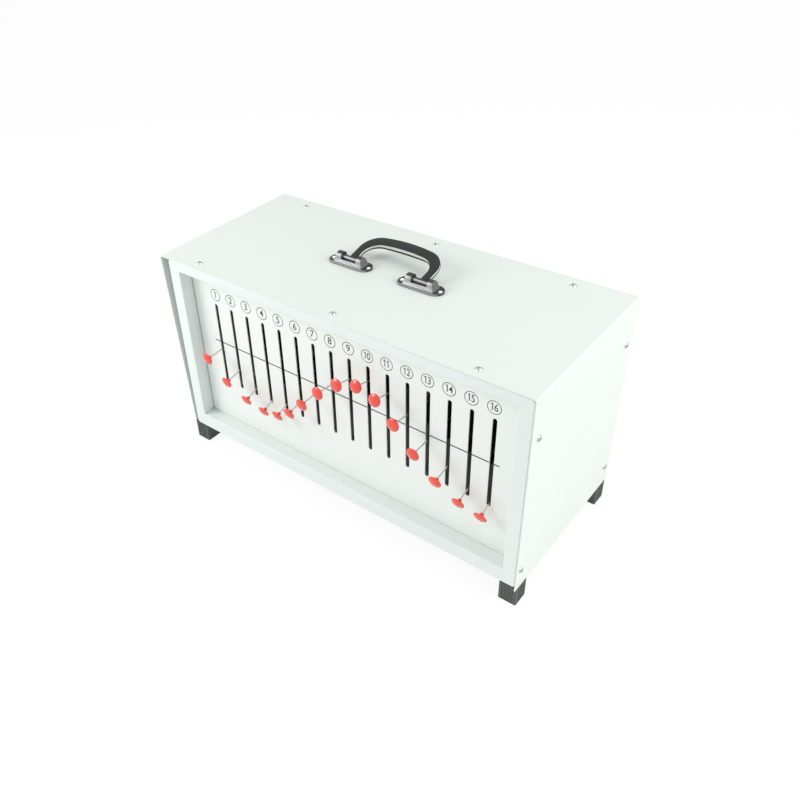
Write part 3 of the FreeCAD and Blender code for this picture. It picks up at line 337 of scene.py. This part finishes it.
def mount_lacquer():
    finish = Finish("mount_lacquer", Metallic=0.25)
    cloud = finish.noise(MOTTLE, 4.0)
    flakes = finish.noise(FLAKES, 1.0)
    # Each face's share of painted light, with a little random mottle
    bare = finish.painted("bare") + (cloud - 0.5) * 0.12
    body = finish.mixed(bare, PAINTED_DARK_TOP, PAINTED_LIT_SIDE)
    finish.colour(finish.mixed(flakes * 0.12, body, METAL_FLAKE))
    finish.roughness(cloud * 0.15 + 0.32)
    finish.bump(flakes, FLAKE_DEPTH, 0.5)
    return finish.material


mount_light_paint = mount_lacquer()
print("lacquer nodes:", len(mount_light_paint.node_tree.nodes))

# %% [markdown]
# Every solid names the finish that it has on the real object, so one table from those
# names to the materials dresses them all. A solid that needs no new shape is finished by
# this step.

# %% Finishes onto the solids
FINISHES = {
    "case_paint": case_enamel, "frame_paint": frame_enamel, "panel_paint": panel_enamel,
    "foot_rubber": rubber, "zinc_steel": zinc, "screw_steel": screw_nickel,
    "rivet_alloy": rivet_alloy, "bush_bronze": bronze, "bright_steel": rod_steel,
    "mount_metal": mount_light_paint, "bright_screw": bright_screw, "handle_plastic": grip_dark,
    "handle_strip": strip_pale, "disc_plastic": nylon, "knob_plastic": knob_black,
    "arm_steel": wire_steel, "cap_plastic": cap_red,
}
for part in frame["record"]["subparts"]:
    piece = solids[part["node"]]
    piece.data.materials.clear()
    piece.data.materials.append(FINISHES[part["material_slot"]])
print("finishes:", len(FINISHES))

# %% [markdown]
# The remaining cells model pieces. Each starts from a primitive that is shaped with the
# same tools as by hand. An operator acts on whatever is selected, so a new piece starts
# with nothing selected, and every finished piece carries its place in its mesh.


# %% Hand tools
def select_only(piece):
    if bpy.context.object and bpy.context.object.mode != "OBJECT":
        bpy.ops.object.mode_set(mode="OBJECT")
    bpy.ops.object.select_all(action="DESELECT")
    if piece:
        piece.select_set(True)
        bpy.context.view_layer.objects.active = piece


def settle(piece):
    select_only(piece)
    bpy.ops.object.transform_apply(location=True, rotation=True, scale=True)


def smooth(piece, degrees=35.0):
    select_only(piece)
    bpy.ops.object.shade_smooth_by_angle(angle=math.radians(degrees))


def finished(piece, name, body, finish, slot, *replaced):
    piece.name = name
    piece.data.name = name
    piece.data.materials.clear()
    piece.data.materials.append(finish)
    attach(piece, body)
    if replaced:
        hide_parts(*replaced)
    return piece


# %% [markdown]
# A cap is a turned shape: a neck that grips the wire, a flare, a thin rim and a shallow
# dome. A circle is extruded and scaled from one station of the profile to the next, as on
# a lathe. The first cap is modelled level, and the others are copies, each turned to the
# height at which its arm has stopped.


# %% A turned shape from its profile
def turned(profile, sides):
    select_only(None)
    radius, depth = profile[0]
    bpy.ops.mesh.primitive_circle_add(vertices=sides, radius=radius * MM, fill_type="NGON",
                                      location=(0, depth * MM, 0), rotation=(math.pi / 2, 0, 0))
    piece = bpy.context.object
    settle(piece)
    bpy.ops.object.mode_set(mode="EDIT")
    bpy.ops.mesh.select_all(action="SELECT")
    for next_radius, next_depth in profile[1:]:
        share = next_radius / radius
        step = (0, (next_depth - depth) * MM, 0)
        bpy.ops.mesh.extrude_region_move(TRANSFORM_OT_translate={"value": step})
        bpy.ops.transform.resize(value=(share, 1, share), center_override=(0, next_depth * MM, 0))
        radius, depth = next_radius, next_depth
    bpy.ops.mesh.select_all(action="SELECT")
    bpy.ops.mesh.normals_make_consistent(inside=False)
    bpy.ops.object.mode_set(mode="OBJECT")
    return piece


# %% The first cap, level, in millimetres
REACH = 167.5
BORE, NECK, RIM, DOME, FACE = 1.5, 2.2, 7.6, 2.4, 0.8
CAP_SIDES = 40
BALL = (RIM * RIM + DOME * DOME) / (2 * DOME)
NECK_STATIONS = [(BORE, 4.6), (1.95, 4.5), (NECK, 4.2), (NECK, 2.9)]
FLARE_STATIONS = [(2.5, 2.3), (3.2, 1.6), (4.3, 0.95), (5.8, 0.4), (7.2, 0.02)]
RIM_STATIONS = [(7.5, -0.1), (RIM, -0.3), (RIM, -0.6)]
STATIONS = NECK_STATIONS + FLARE_STATIONS + RIM_STATIONS
profile = [(radius, depth - REACH) for radius, depth in STATIONS]
for share in (0.985, 0.95, 0.88, 0.76, 0.6, 0.42, 0.24, 0.1, 0.02):
    across = RIM * share
    rise = DOME - BALL + math.sqrt(BALL * BALL - across * across)
    profile.append((across, -REACH - FACE - rise))
pattern_cap = turned(profile, CAP_SIDES)
smooth(pattern_cap, 50.0)
print("cap faces:", len(pattern_cap.data.polygons))

# %% [markdown]
# The arms have stopped at different heights, as in a wave that stands still. How far an
# arm has swung follows from the travel that its hinge has left: the middle of that travel,
# set against the middle of the whole swing, is the arm's lift. Each copy is turned by it
# about the pivot, and compared with the plain cap that it stands for.

# %% One cap on each arm
ARM_COUNT = 16
SWING_MEAN = -3.2
CAP_TOLERANCE = 0.3 * MM
for number in range(1, ARM_COUNT + 1):
    hinge = joints[f"arm_{number:02d}_swing"]
    low, high = hinge["range_deg"]
    lift = (low + high) / 2 + SWING_MEAN
    cap = pattern_cap.copy()
    cap.data = pattern_cap.data.copy()
    bpy.context.scene.collection.objects.link(cap)
    place = Matrix.Translation(hinge["pos_m"])
    cap.data.transform(place @ Matrix.Rotation(math.radians(-lift), 4, "X"))
    node = f"cap_{number:02d}"
    finished(cap, f"red_{node}", f"wave_arm_{number:02d}", cap_red, "cap_plastic", node)
    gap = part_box(node)[0].z - min(v.co.z for v in cap.data.vertices)
    assert abs(gap) < CAP_TOLERANCE, (number, gap)
bpy.data.objects.remove(pattern_cap)
print("caps placed:", ARM_COUNT)

# %% [markdown]
# The carrying handle is a flat bow that is held at its two ends. Its dark front and back are thin shells, and a
# pale strip lies between them. That strip is a painted highlight: it stands in for the light that the glossy
# grip's rounded inner side reflects from the white case top. The bow is an arch of two curves, an outer and an
# inner one. The way to model it is to extrude one section from station to station along the arch: at each station
# the section is turned, and resized to reach from the inner curve to the outer one. It's modelled upright and
# leaned back at the end.


# %% The two curves of the bow, in millimetres
HANDLE_HALF, LEG_OUTSIDE, LEG_INSIDE = 52.1, 51.6, 43.0
BULGE, WAIST = 9.1, 4.6
LEG_TOP, SPLIT = 9.0, 6.0
BACK_STEPS, SHOULDER_STEPS = 5, 12


def arc_points(centre, radius, first, last, steps):
    for step in range(steps + 1):
        angle = math.radians(first + (last - first) * step / steps)
        yield centre[0] + radius * math.cos(angle), centre[1] + radius * math.sin(angle)


outside = [*arc_points((0, -174.6), 218.6, 90, 82.6, BACK_STEPS),
           *arc_points((28.1, 18.3), 23.7, 79, -0.9, SHOULDER_STEPS)]
inside = [*arc_points((0, -220.1), 252.2, 90, 84.6, BACK_STEPS),
          *arc_points((24.7, 12.3), 18.5, 80, -1.2, SHOULDER_STEPS)]
outside += [(LEG_OUTSIDE, LEG_TOP), (LEG_OUTSIDE, SPLIT)]
inside += [(LEG_INSIDE, LEG_TOP), (LEG_INSIDE, SPLIT)]
right_half = list(zip(outside, inside))
left_half = [((-a, b), (-c, d)) for (a, b), (c, d) in right_half]
stations = left_half[::-1] + right_half[1:]
print("stations along the bow:", len(stations))


# %% [markdown]
# The bow is thickest in the middle and thin at its ends. A shell takes a share of that
# thickness, from minus a half at the front to a half at the back. Its section starts as a
# plane whose two outer corners are rounded, and is drawn along the stations.


# %% One shell of the bow
ROUNDED_SHARE, ROUND_STEPS = 0.4, 6


def thickness(x):
    return WAIST + (BULGE - WAIST) * (1 - (x / HANDLE_HALF) ** 2)


def section_at(station, front, back, inset):
    outer, inner = Vector(station[0]), Vector(station[1])
    middle = (outer + inner) / 2
    thick = thickness(middle.x)
    centre = Vector((middle.x, thick * (front + back) / 2, middle.y)) * MM
    along = outer - inner
    turn = math.atan2(-along.y, along.x)
    return centre, turn, (along.length - 2 * inset) * MM, thick * (back - front) * MM


def shell(front, back, inset, rounded_side):
    select_only(None)
    centre, turn, width, thick = section_at(stations[0], front, back, inset)
    bpy.ops.mesh.primitive_plane_add(size=1)
    piece = bpy.context.object
    bpy.ops.object.mode_set(mode="EDIT")
    bpy.ops.mesh.select_all(action="DESELECT")
    bpy.ops.object.mode_set(mode="OBJECT")
    for corner in piece.data.vertices:
        corner.select = corner.co.y * rounded_side > 0
    bpy.ops.object.mode_set(mode="EDIT")
    bpy.ops.mesh.bevel(offset=ROUNDED_SHARE, segments=ROUND_STEPS, affect="VERTICES")
    bpy.ops.mesh.select_all(action="SELECT")
    bpy.ops.transform.resize(value=(width, thick, 1))
    bpy.ops.transform.translate(value=centre)
    for station in stations[1:]:
        next_centre, next_turn, next_width, next_thick = section_at(station, front, back, inset)
        swing = (next_turn - turn + math.pi) % (2 * math.pi) - math.pi
        wider, thicker = next_width / width, next_thick / thick
        bpy.ops.mesh.extrude_region_move(TRANSFORM_OT_translate={"value": next_centre - centre})
        bpy.ops.transform.rotate(value=-swing, orient_axis="Y", center_override=next_centre)
        bpy.ops.transform.resize(value=(wider, thicker, wider), center_override=next_centre)
        centre, turn, width, thick = next_centre, next_turn, next_width, next_thick
    bpy.ops.mesh.select_all(action="SELECT")
    bpy.ops.mesh.normals_make_consistent(inside=False)
    bpy.ops.object.mode_set(mode="OBJECT")
    return piece


# %% The three layers of the bow
FRONT, STRIP_FRONT, STRIP_BACK, BACK = -0.5, -0.33, 0.12, 0.5
STRIP_INSET = 0.3
BOW_HEIGHT, BOW_TOLERANCE = 44.0 * MM, 0.2 * MM
front_shell = shell(FRONT, STRIP_FRONT, 0, -1)
back_shell = shell(STRIP_BACK, BACK, 0, 1)
# The pale middle layer is the painted highlight of the grip
highlight_strip = shell(STRIP_FRONT, STRIP_BACK, STRIP_INSET, 0)
bow_height = max(v.co.z for v in front_shell.data.vertices)
assert abs(bow_height - BOW_HEIGHT) < BOW_TOLERANCE, bow_height
print("bow height in mm:", round(bow_height / MM, 2))

# %% [markdown]
# Below the shells each leg is one dark block that sits on its barrel like a saddle. The
# hollow of the saddle is the barrel's own shape, so it's cut with a drum of the same size
# by the Boolean modifier.


# %% Cutting and easing
def cut_out(piece, tool):
    select_only(piece)
    change = piece.modifiers.new("cut", "BOOLEAN")
    change.operation = "DIFFERENCE"
    change.solver = "EXACT"
    change.object = tool
    bpy.ops.object.modifier_apply(modifier=change.name)
    bpy.data.objects.remove(tool)


def rounded_edges(piece, width, segments=2, degrees=35.0):
    select_only(piece)
    easing = piece.modifiers.new("eased", "BEVEL")
    easing.width = width * MM
    easing.segments = segments
    easing.limit_method = "ANGLE"
    easing.angle_limit = math.radians(degrees)
    bpy.ops.object.modifier_apply(modifier=easing.name)


def drum(radius, width, sides=48):
    select_only(None)
    bpy.ops.mesh.primitive_cylinder_add(vertices=sides, radius=radius * MM, depth=width * MM,
                                        rotation=(0, math.pi / 2, 0))
    piece = bpy.context.object
    settle(piece)
    return piece


# %% The roots of the two legs
BARREL, SADDLE = 2.7, 1.6
LEG_EASING = 0.4
ROOT_LAP = 0.6
ROOT_TOP = SPLIT + ROOT_LAP
LEG_WIDTH = LEG_OUTSIDE - LEG_INSIDE
LEG_MIDDLE = (LEG_OUTSIDE + LEG_INSIDE) / 2
select_only(None)
bpy.ops.mesh.primitive_cube_add(size=1)
leg = bpy.context.object
leg.scale = (LEG_WIDTH * MM, thickness(LEG_MIDDLE) * MM, (ROOT_TOP - SADDLE) * MM)
leg.location.z = (ROOT_TOP + SADDLE) / 2 * MM
settle(leg)
rounded_edges(leg, LEG_EASING, 3)
cut_out(leg, drum(BARREL, 2 * LEG_WIDTH))
other_leg = leg.copy()
other_leg.data = leg.data.copy()
bpy.context.scene.collection.objects.link(other_leg)
leg.location.x = LEG_MIDDLE * MM
other_leg.location.x = -LEG_MIDDLE * MM
settle(leg)
settle(other_leg)
print("leg faces:", len(leg.data.polygons))

# %% [markdown]
# The handle lies folded back in its rest place, so the finished layers are leaned back about their own hinge. The
# shells and the roots are one dark piece. The strip stays a piece of its own with its own pale finish, the painted
# highlight. Both are then held against their solids.

# %% The handle, leaned back
hinge = Vector(joints["handle_swing"]["pos_m"])
LEAN = math.radians(-75.0)
HANDLE_TOLERANCE = 1.0 * MM


def leaned_back(piece):
    piece.location = (sum(c.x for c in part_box("handle_grip")) / 2, hinge.y, hinge.z)
    piece.rotation_euler.x = LEAN
    settle(piece)
    smooth(piece, 40.0)


select_only(front_shell)
for piece in (back_shell, leg, other_leg):
    piece.select_set(True)
bpy.ops.object.join()
leaned_back(front_shell)
leaned_back(highlight_strip)
finished(front_shell, "handle_bow", "handle", grip_dark, "handle_plastic", "handle_grip")
finished(highlight_strip, "handle_pale_strip", "handle", strip_pale, "handle_strip", "handle_core")
for piece, node in ((front_shell, "handle_grip"), (highlight_strip, "handle_core")):
    corners = [v.co for v in piece.data.vertices]
    apart = max(abs(choose(c[i] for c in corners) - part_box(node)[end][i])
                for end, choose in enumerate((min, max)) for i in range(3))
    assert apart < HANDLE_TOLERANCE, (node, apart)
    print(node, "differs from its solid by at most", round(apart / MM, 2), "mm")

# %% [markdown]
# The mounts and the barrels keep their solids' shape. Each is copied and its corners are merged, and the mounts'
# sharp edges are eased a little, so that they catch the light. Then each face is given its share of painted light.
# Fronts and backs get the most, as a painted highlight, and the sloping ends get a little. Whatever looks straight
# up or down gets none, so it shows as painted shade.


# %% Mounts and barrels with painted light and shade
MERGE_DISTANCE = 0.01 * MM
MOUNT_EASING = 0.12
PAINTED_END_LIGHT, PAINTED_RIM_LIGHT = 0.3, 0.6


# Painted highlight on fronts and backs, a little on the sloping ends, and painted shade on faces that look up or
# down
def bareness(normal):
    if normal.z < -0.3:
        return 0.0
    front = min(max((normal.y ** 2 - 0.3) / 0.3, 0.0), 1.0)
    sloping_end = abs(normal.x) > 0.7 and normal.z > 0.1
    upright_rim = abs(normal.z) < 0.05
    return PAINTED_END_LIGHT if sloping_end else front * (PAINTED_RIM_LIGHT if upright_rim else 1.0)


def rubbed_copy(node, name, body, ease):
    piece = solids[node].copy()
    piece.data = solids[node].data.copy()
    for key in [key for key in piece.keys() if key.startswith("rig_")]:
        del piece[key]
    bpy.context.scene.collection.objects.link(piece)
    piece.parent = None
    piece.matrix_world = solids[node].matrix_world
    select_only(piece)
    bpy.ops.object.mode_set(mode="EDIT")
    bpy.ops.mesh.select_all(action="SELECT")
    bpy.ops.mesh.remove_doubles(threshold=MERGE_DISTANCE)
    bpy.ops.mesh.dissolve_limited(angle_limit=math.radians(1.0))
    bpy.ops.object.mode_set(mode="OBJECT")
    if ease:
        rounded_edges(piece, ease, 2, 40.0)
    smooth(piece, 30.0)
    # Each face stores its share of painted light
    bare = piece.data.attributes.new("bare", "FLOAT", "FACE")
    for face in piece.data.polygons:
        bare.data[face.index].value = bareness(face.normal)
    return finished(piece, name, body, mount_light_paint, "mount_metal", node)


for node, name, body, ease in (("handle_mount_left", "rubbed_mount_left", "case", MOUNT_EASING),
                               ("handle_mount_right", "rubbed_mount_right", "case", MOUNT_EASING),
                               ("handle_barrels", "rubbed_barrels", "handle", 0.0)):
    piece = rubbed_copy(node, name, body, ease)
    print(name, "faces:", len(piece.data.polygons))

# %% [markdown]
# The panel is printed: a ring with a number over each slot, and one line across the row
# at the arms' level. Print that is drawn in a pattern blurs when the model is exported,
# so each mark is a real film of ink, a twentieth of a millimetre thick, on the panel.

# %% Rings over the slots
PANEL_FACE = panel_corner.y
RING_HEIGHT = 231.4 * MM
RING_OUTSIDE, RING_LINE = 7.8 * MM, 0.8 * MM
RING_SIDES, LINE_SIDES = 64, 8
INK = 0.05 * MM
UPRIGHT = (math.pi / 2, 0, 0)
PRINT_OFFSET, PRINT_STEP = 1.3, 0.2


def arm_x(number):
    return joints[f"arm_{number:02d}_swing"]["pos_m"][0]


# The print's own pitch is a fifth of a millimetre smaller than the slots'
def print_x(number):
    return arm_x(number) + (PRINT_OFFSET - PRINT_STEP * (number - 1)) * MM


def inked(piece):
    settle(piece)
    select_only(piece)
    bpy.ops.object.mode_set(mode="EDIT")
    bpy.ops.mesh.select_all(action="SELECT")
    bpy.ops.mesh.normals_make_consistent(inside=False)
    bpy.ops.object.mode_set(mode="OBJECT")
    return piece


rings = []
for number in range(1, ARM_COUNT + 1):
    select_only(None)
    bpy.ops.mesh.primitive_torus_add(major_radius=RING_OUTSIDE - RING_LINE / 2,
                                     minor_radius=RING_LINE / 2,
                                     major_segments=RING_SIDES,
                                     minor_segments=LINE_SIDES, rotation=UPRIGHT,
                                     location=(print_x(number), PANEL_FACE, RING_HEIGHT))
    ring = bpy.context.object
    ring.scale = (1, 1, INK / (RING_LINE / 2))
    settle(ring)
    rings.append(ring)
select_only(rings[0])
for ring in rings:
    ring.select_set(True)
bpy.ops.object.join()
finished(inked(bpy.context.object), "printed_rings", "case", print_ink, "panel_paint")
print("rings:", len(rings))

# %% [markdown]
# The numbers are text that becomes a mesh. The ones of the plain typeface are bare strokes,
# while those on the panel have a small flag at the top, so a short slanting bar is laid on
# each. Numbers of two figures are set narrower, because the rings are all of one size.

# %% Numbers in the rings
NUMBER_HEIGHT, CAPITAL_SHARE = 8.6 * MM, 0.7
ONE_FIGURE, TWO_FIGURES, FIGURE_SPACING = 0.92, 0.78, 0.86
STEM, BOLDER = 0.95 * MM, 0.08 * MM
FLAG_LENGTH, FLAG_LEFT, FLAG_DOWN = 2.3 * MM, 0.45 * MM, 1.15 * MM
FLAG_SLANT = math.radians(-42)
numbers = []
for number in range(1, ARM_COUNT + 1):
    select_only(None)
    bpy.ops.object.text_add(location=(print_x(number), PANEL_FACE, RING_HEIGHT), rotation=UPRIGHT)
    figure = bpy.context.object
    figure.data.body = str(number)
    figure.data.align_x = "CENTER"
    figure.data.align_y = "CENTER"
    figure.data.size = NUMBER_HEIGHT / CAPITAL_SHARE
    figure.data.extrude = INK
    figure.data.offset = BOLDER
    figure.data.space_character = FIGURE_SPACING
    figure.data.resolution_u = 4
    figure.scale.x = ONE_FIGURE if number < 10 else TWO_FIGURES
    bpy.ops.object.convert(target="MESH")
    figure = bpy.context.object
    settle(figure)
    numbers.append(figure)
    top = max(v.co.z for v in figure.data.vertices)
    stems = [min(v.co.x for v in figure.data.vertices)] if "1" in str(number) else []
    if number == 11:
        stems.append(max(v.co.x for v in figure.data.vertices) - STEM)
    for stem in stems:
        place = (stem - FLAG_LEFT, PANEL_FACE, top - FLAG_DOWN)
        bpy.ops.mesh.primitive_cube_add(size=1, location=place, rotation=(0, FLAG_SLANT, 0))
        flag = bpy.context.object
        flag.scale = (FLAG_LENGTH, 2 * INK, STEM * 0.9)
        settle(flag)
        numbers.append(flag)
select_only(numbers[0])
for figure in numbers:
    figure.select_set(True)
bpy.ops.object.join()
finished(bpy.context.object, "printed_numbers", "case", print_ink, "panel_paint")
print("figures and the small flags of their ones:", len(numbers))

# %% [markdown]
# The line runs across the whole row, but a slot is a hole and carries no ink. So it is
# seventeen dashes, one between each pair of neighbouring slots and one at either end. On
# the panel it falls a very little towards the right, and so do the dashes.

# %% The line at the arms' level
LINE_LEFT, LINE_RIGHT = arm_x(1) - 10.9 * MM, arm_x(ARM_COUNT) + 8.7 * MM
LINE_HEIGHT, LINE_WIDTH, LINE_FALL = 165.15 * MM, 1.5 * MM, math.radians(0.36)
LINE_MIDDLE = (LINE_LEFT + LINE_RIGHT) / 2
SLOT = 5.0 * MM
dashes = []
edges = [LINE_LEFT]
for number in range(1, ARM_COUNT + 1):
    edges += [arm_x(number) - SLOT / 2, arm_x(number) + SLOT / 2]
edges.append(LINE_RIGHT)
for start, end in zip(edges[0::2], edges[1::2]):
    select_only(None)
    x = (start + end) / 2
    z = LINE_HEIGHT - (x - LINE_MIDDLE) * math.tan(LINE_FALL)
    bpy.ops.mesh.primitive_cube_add(size=1, location=(x, PANEL_FACE, z), rotation=(0, LINE_FALL, 0))
    dash = bpy.context.object
    dash.scale = (end - start, 2 * INK, LINE_WIDTH)
    settle(dash)
    dashes.append(dash)
select_only(dashes[0])
for dash in dashes:
    dash.select_set(True)
bpy.ops.object.join()
finished(bpy.context.object, "printed_line", "case", print_ink, "panel_paint")
print("line pieces:", len(dashes))

# %% [markdown]
# The light is a bright, even room with a large soft lamp before the left end of the case
# and another beyond its right side. They are weak beside the room, and only tell the
# case's faces apart.


# %% Two soft lamps
def lamp(name, place, aim, size, power):
    data = bpy.data.lights.new(name, "AREA")
    data.shape = "DISK"
    data.size = size
    data.energy = power
    light = bpy.data.objects.new(name, data)
    bpy.context.scene.collection.objects.link(light)
    light.location = place
    light.rotation_euler = (Vector(aim) - Vector(place)).to_track_quat("-Z", "Y").to_euler()


lamp("left_lamp", (-0.9, -0.9, 0.9), aim=(-0.1, 0.0, 0.15), size=0.8, power=10.8)
lamp("right_lamp", (1.4, 0.3, 1.2), aim=(0.2, 0.0, 0.15), size=1.1, power=16.5)
print("lamps:", len(bpy.data.lights))

# %% [markdown]
# The room shines evenly on the apparatus at two thirds of white, but whoever looks past
# the apparatus should see plain white. A world can do both: it asks whether a ray comes
# straight from the camera, from a mirror or through glass, and is brighter for those.

# %% The bright room
ROOM_LIGHT, WHITE = 0.66, 1.0
room = bpy.data.worlds.new("bright_room")
bpy.context.scene.world = room
room.use_nodes = True
sky = room.node_tree.nodes["Background"]
sky.inputs["Color"].default_value = (WHITE, WHITE, WHITE, 1.0)


# The share of rays that see a thing plainly: straight, in a mirror or through glass
def plain_view(tree):
    path = tree.nodes.new("ShaderNodeLightPath")
    seen = path.outputs["Is Camera Ray"]
    for name in ("Is Glossy Ray", "Is Transmission Ray"):
        both = tree.nodes.new("ShaderNodeMath")
        both.use_clamp = True
        tree.links.new(seen, both.inputs[0])
        tree.links.new(path.outputs[name], both.inputs[1])
        seen = both.outputs[0]
    return seen


lit = room.node_tree.nodes.new("ShaderNodeMath")
lit.operation = "MULTIPLY_ADD"
room.node_tree.links.new(plain_view(room.node_tree), lit.inputs[0])
lit.inputs[1].default_value = WHITE - ROOM_LIGHT
lit.inputs[2].default_value = ROOM_LIGHT
room.node_tree.links.new(lit.outputs[0], sky.inputs["Strength"])
print("room light:", ROOM_LIGHT)

# %% [markdown]
# The floor is white paper. A lit paper would look grey beside the white room, so for the
# camera most of it is a plain glow, and the rest is real paper, which keeps the shadow.

# %% The floor
FLOOR_SIZE = 60.0
PAPER, PAPER_GLOW, GLOW_SHARE = 0.9, 1.04, 0.84
select_only(None)
bpy.ops.mesh.primitive_plane_add(size=FLOOR_SIZE, location=(0, 0, 0))
floor = bpy.context.object
floor.name = "white_floor"
paper = Finish("floor_paper", Roughness=0.9, Base_Color=(PAPER, PAPER, PAPER, 1.0))
glow = paper.add("Emission", {}, Color=(WHITE, WHITE, WHITE), Strength=PAPER_GLOW)
glow_share = Pattern(paper, plain_view(paper.tree)) * GLOW_SHARE
both = paper.add("MixShader", {}, glow_share, Pattern(paper, paper.shader.outputs[0]), glow)
out = paper.tree.nodes["Material Output"]
paper.tree.links.new(both.socket, out.inputs["Surface"])
floor.data.materials.append(paper.material)
floor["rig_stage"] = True
print("floor:", FLOOR_SIZE, "m across")

# %% [markdown]
# Last, the sizes of the solids and of the dressed model are written side by side, so that
# it is easy to see that dressing it hasn't made it grow.

# %% Sizes, and the end
visual_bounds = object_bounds()
sizes = {"cad": [list(corner) for corner in cad_bounds],
         "visual": [list(corner) for corner in visual_bounds]}
for name, box in sizes.items():
    print(name, "box in mm:", [[round(v / MM, 1) for v in corner] for corner in box])
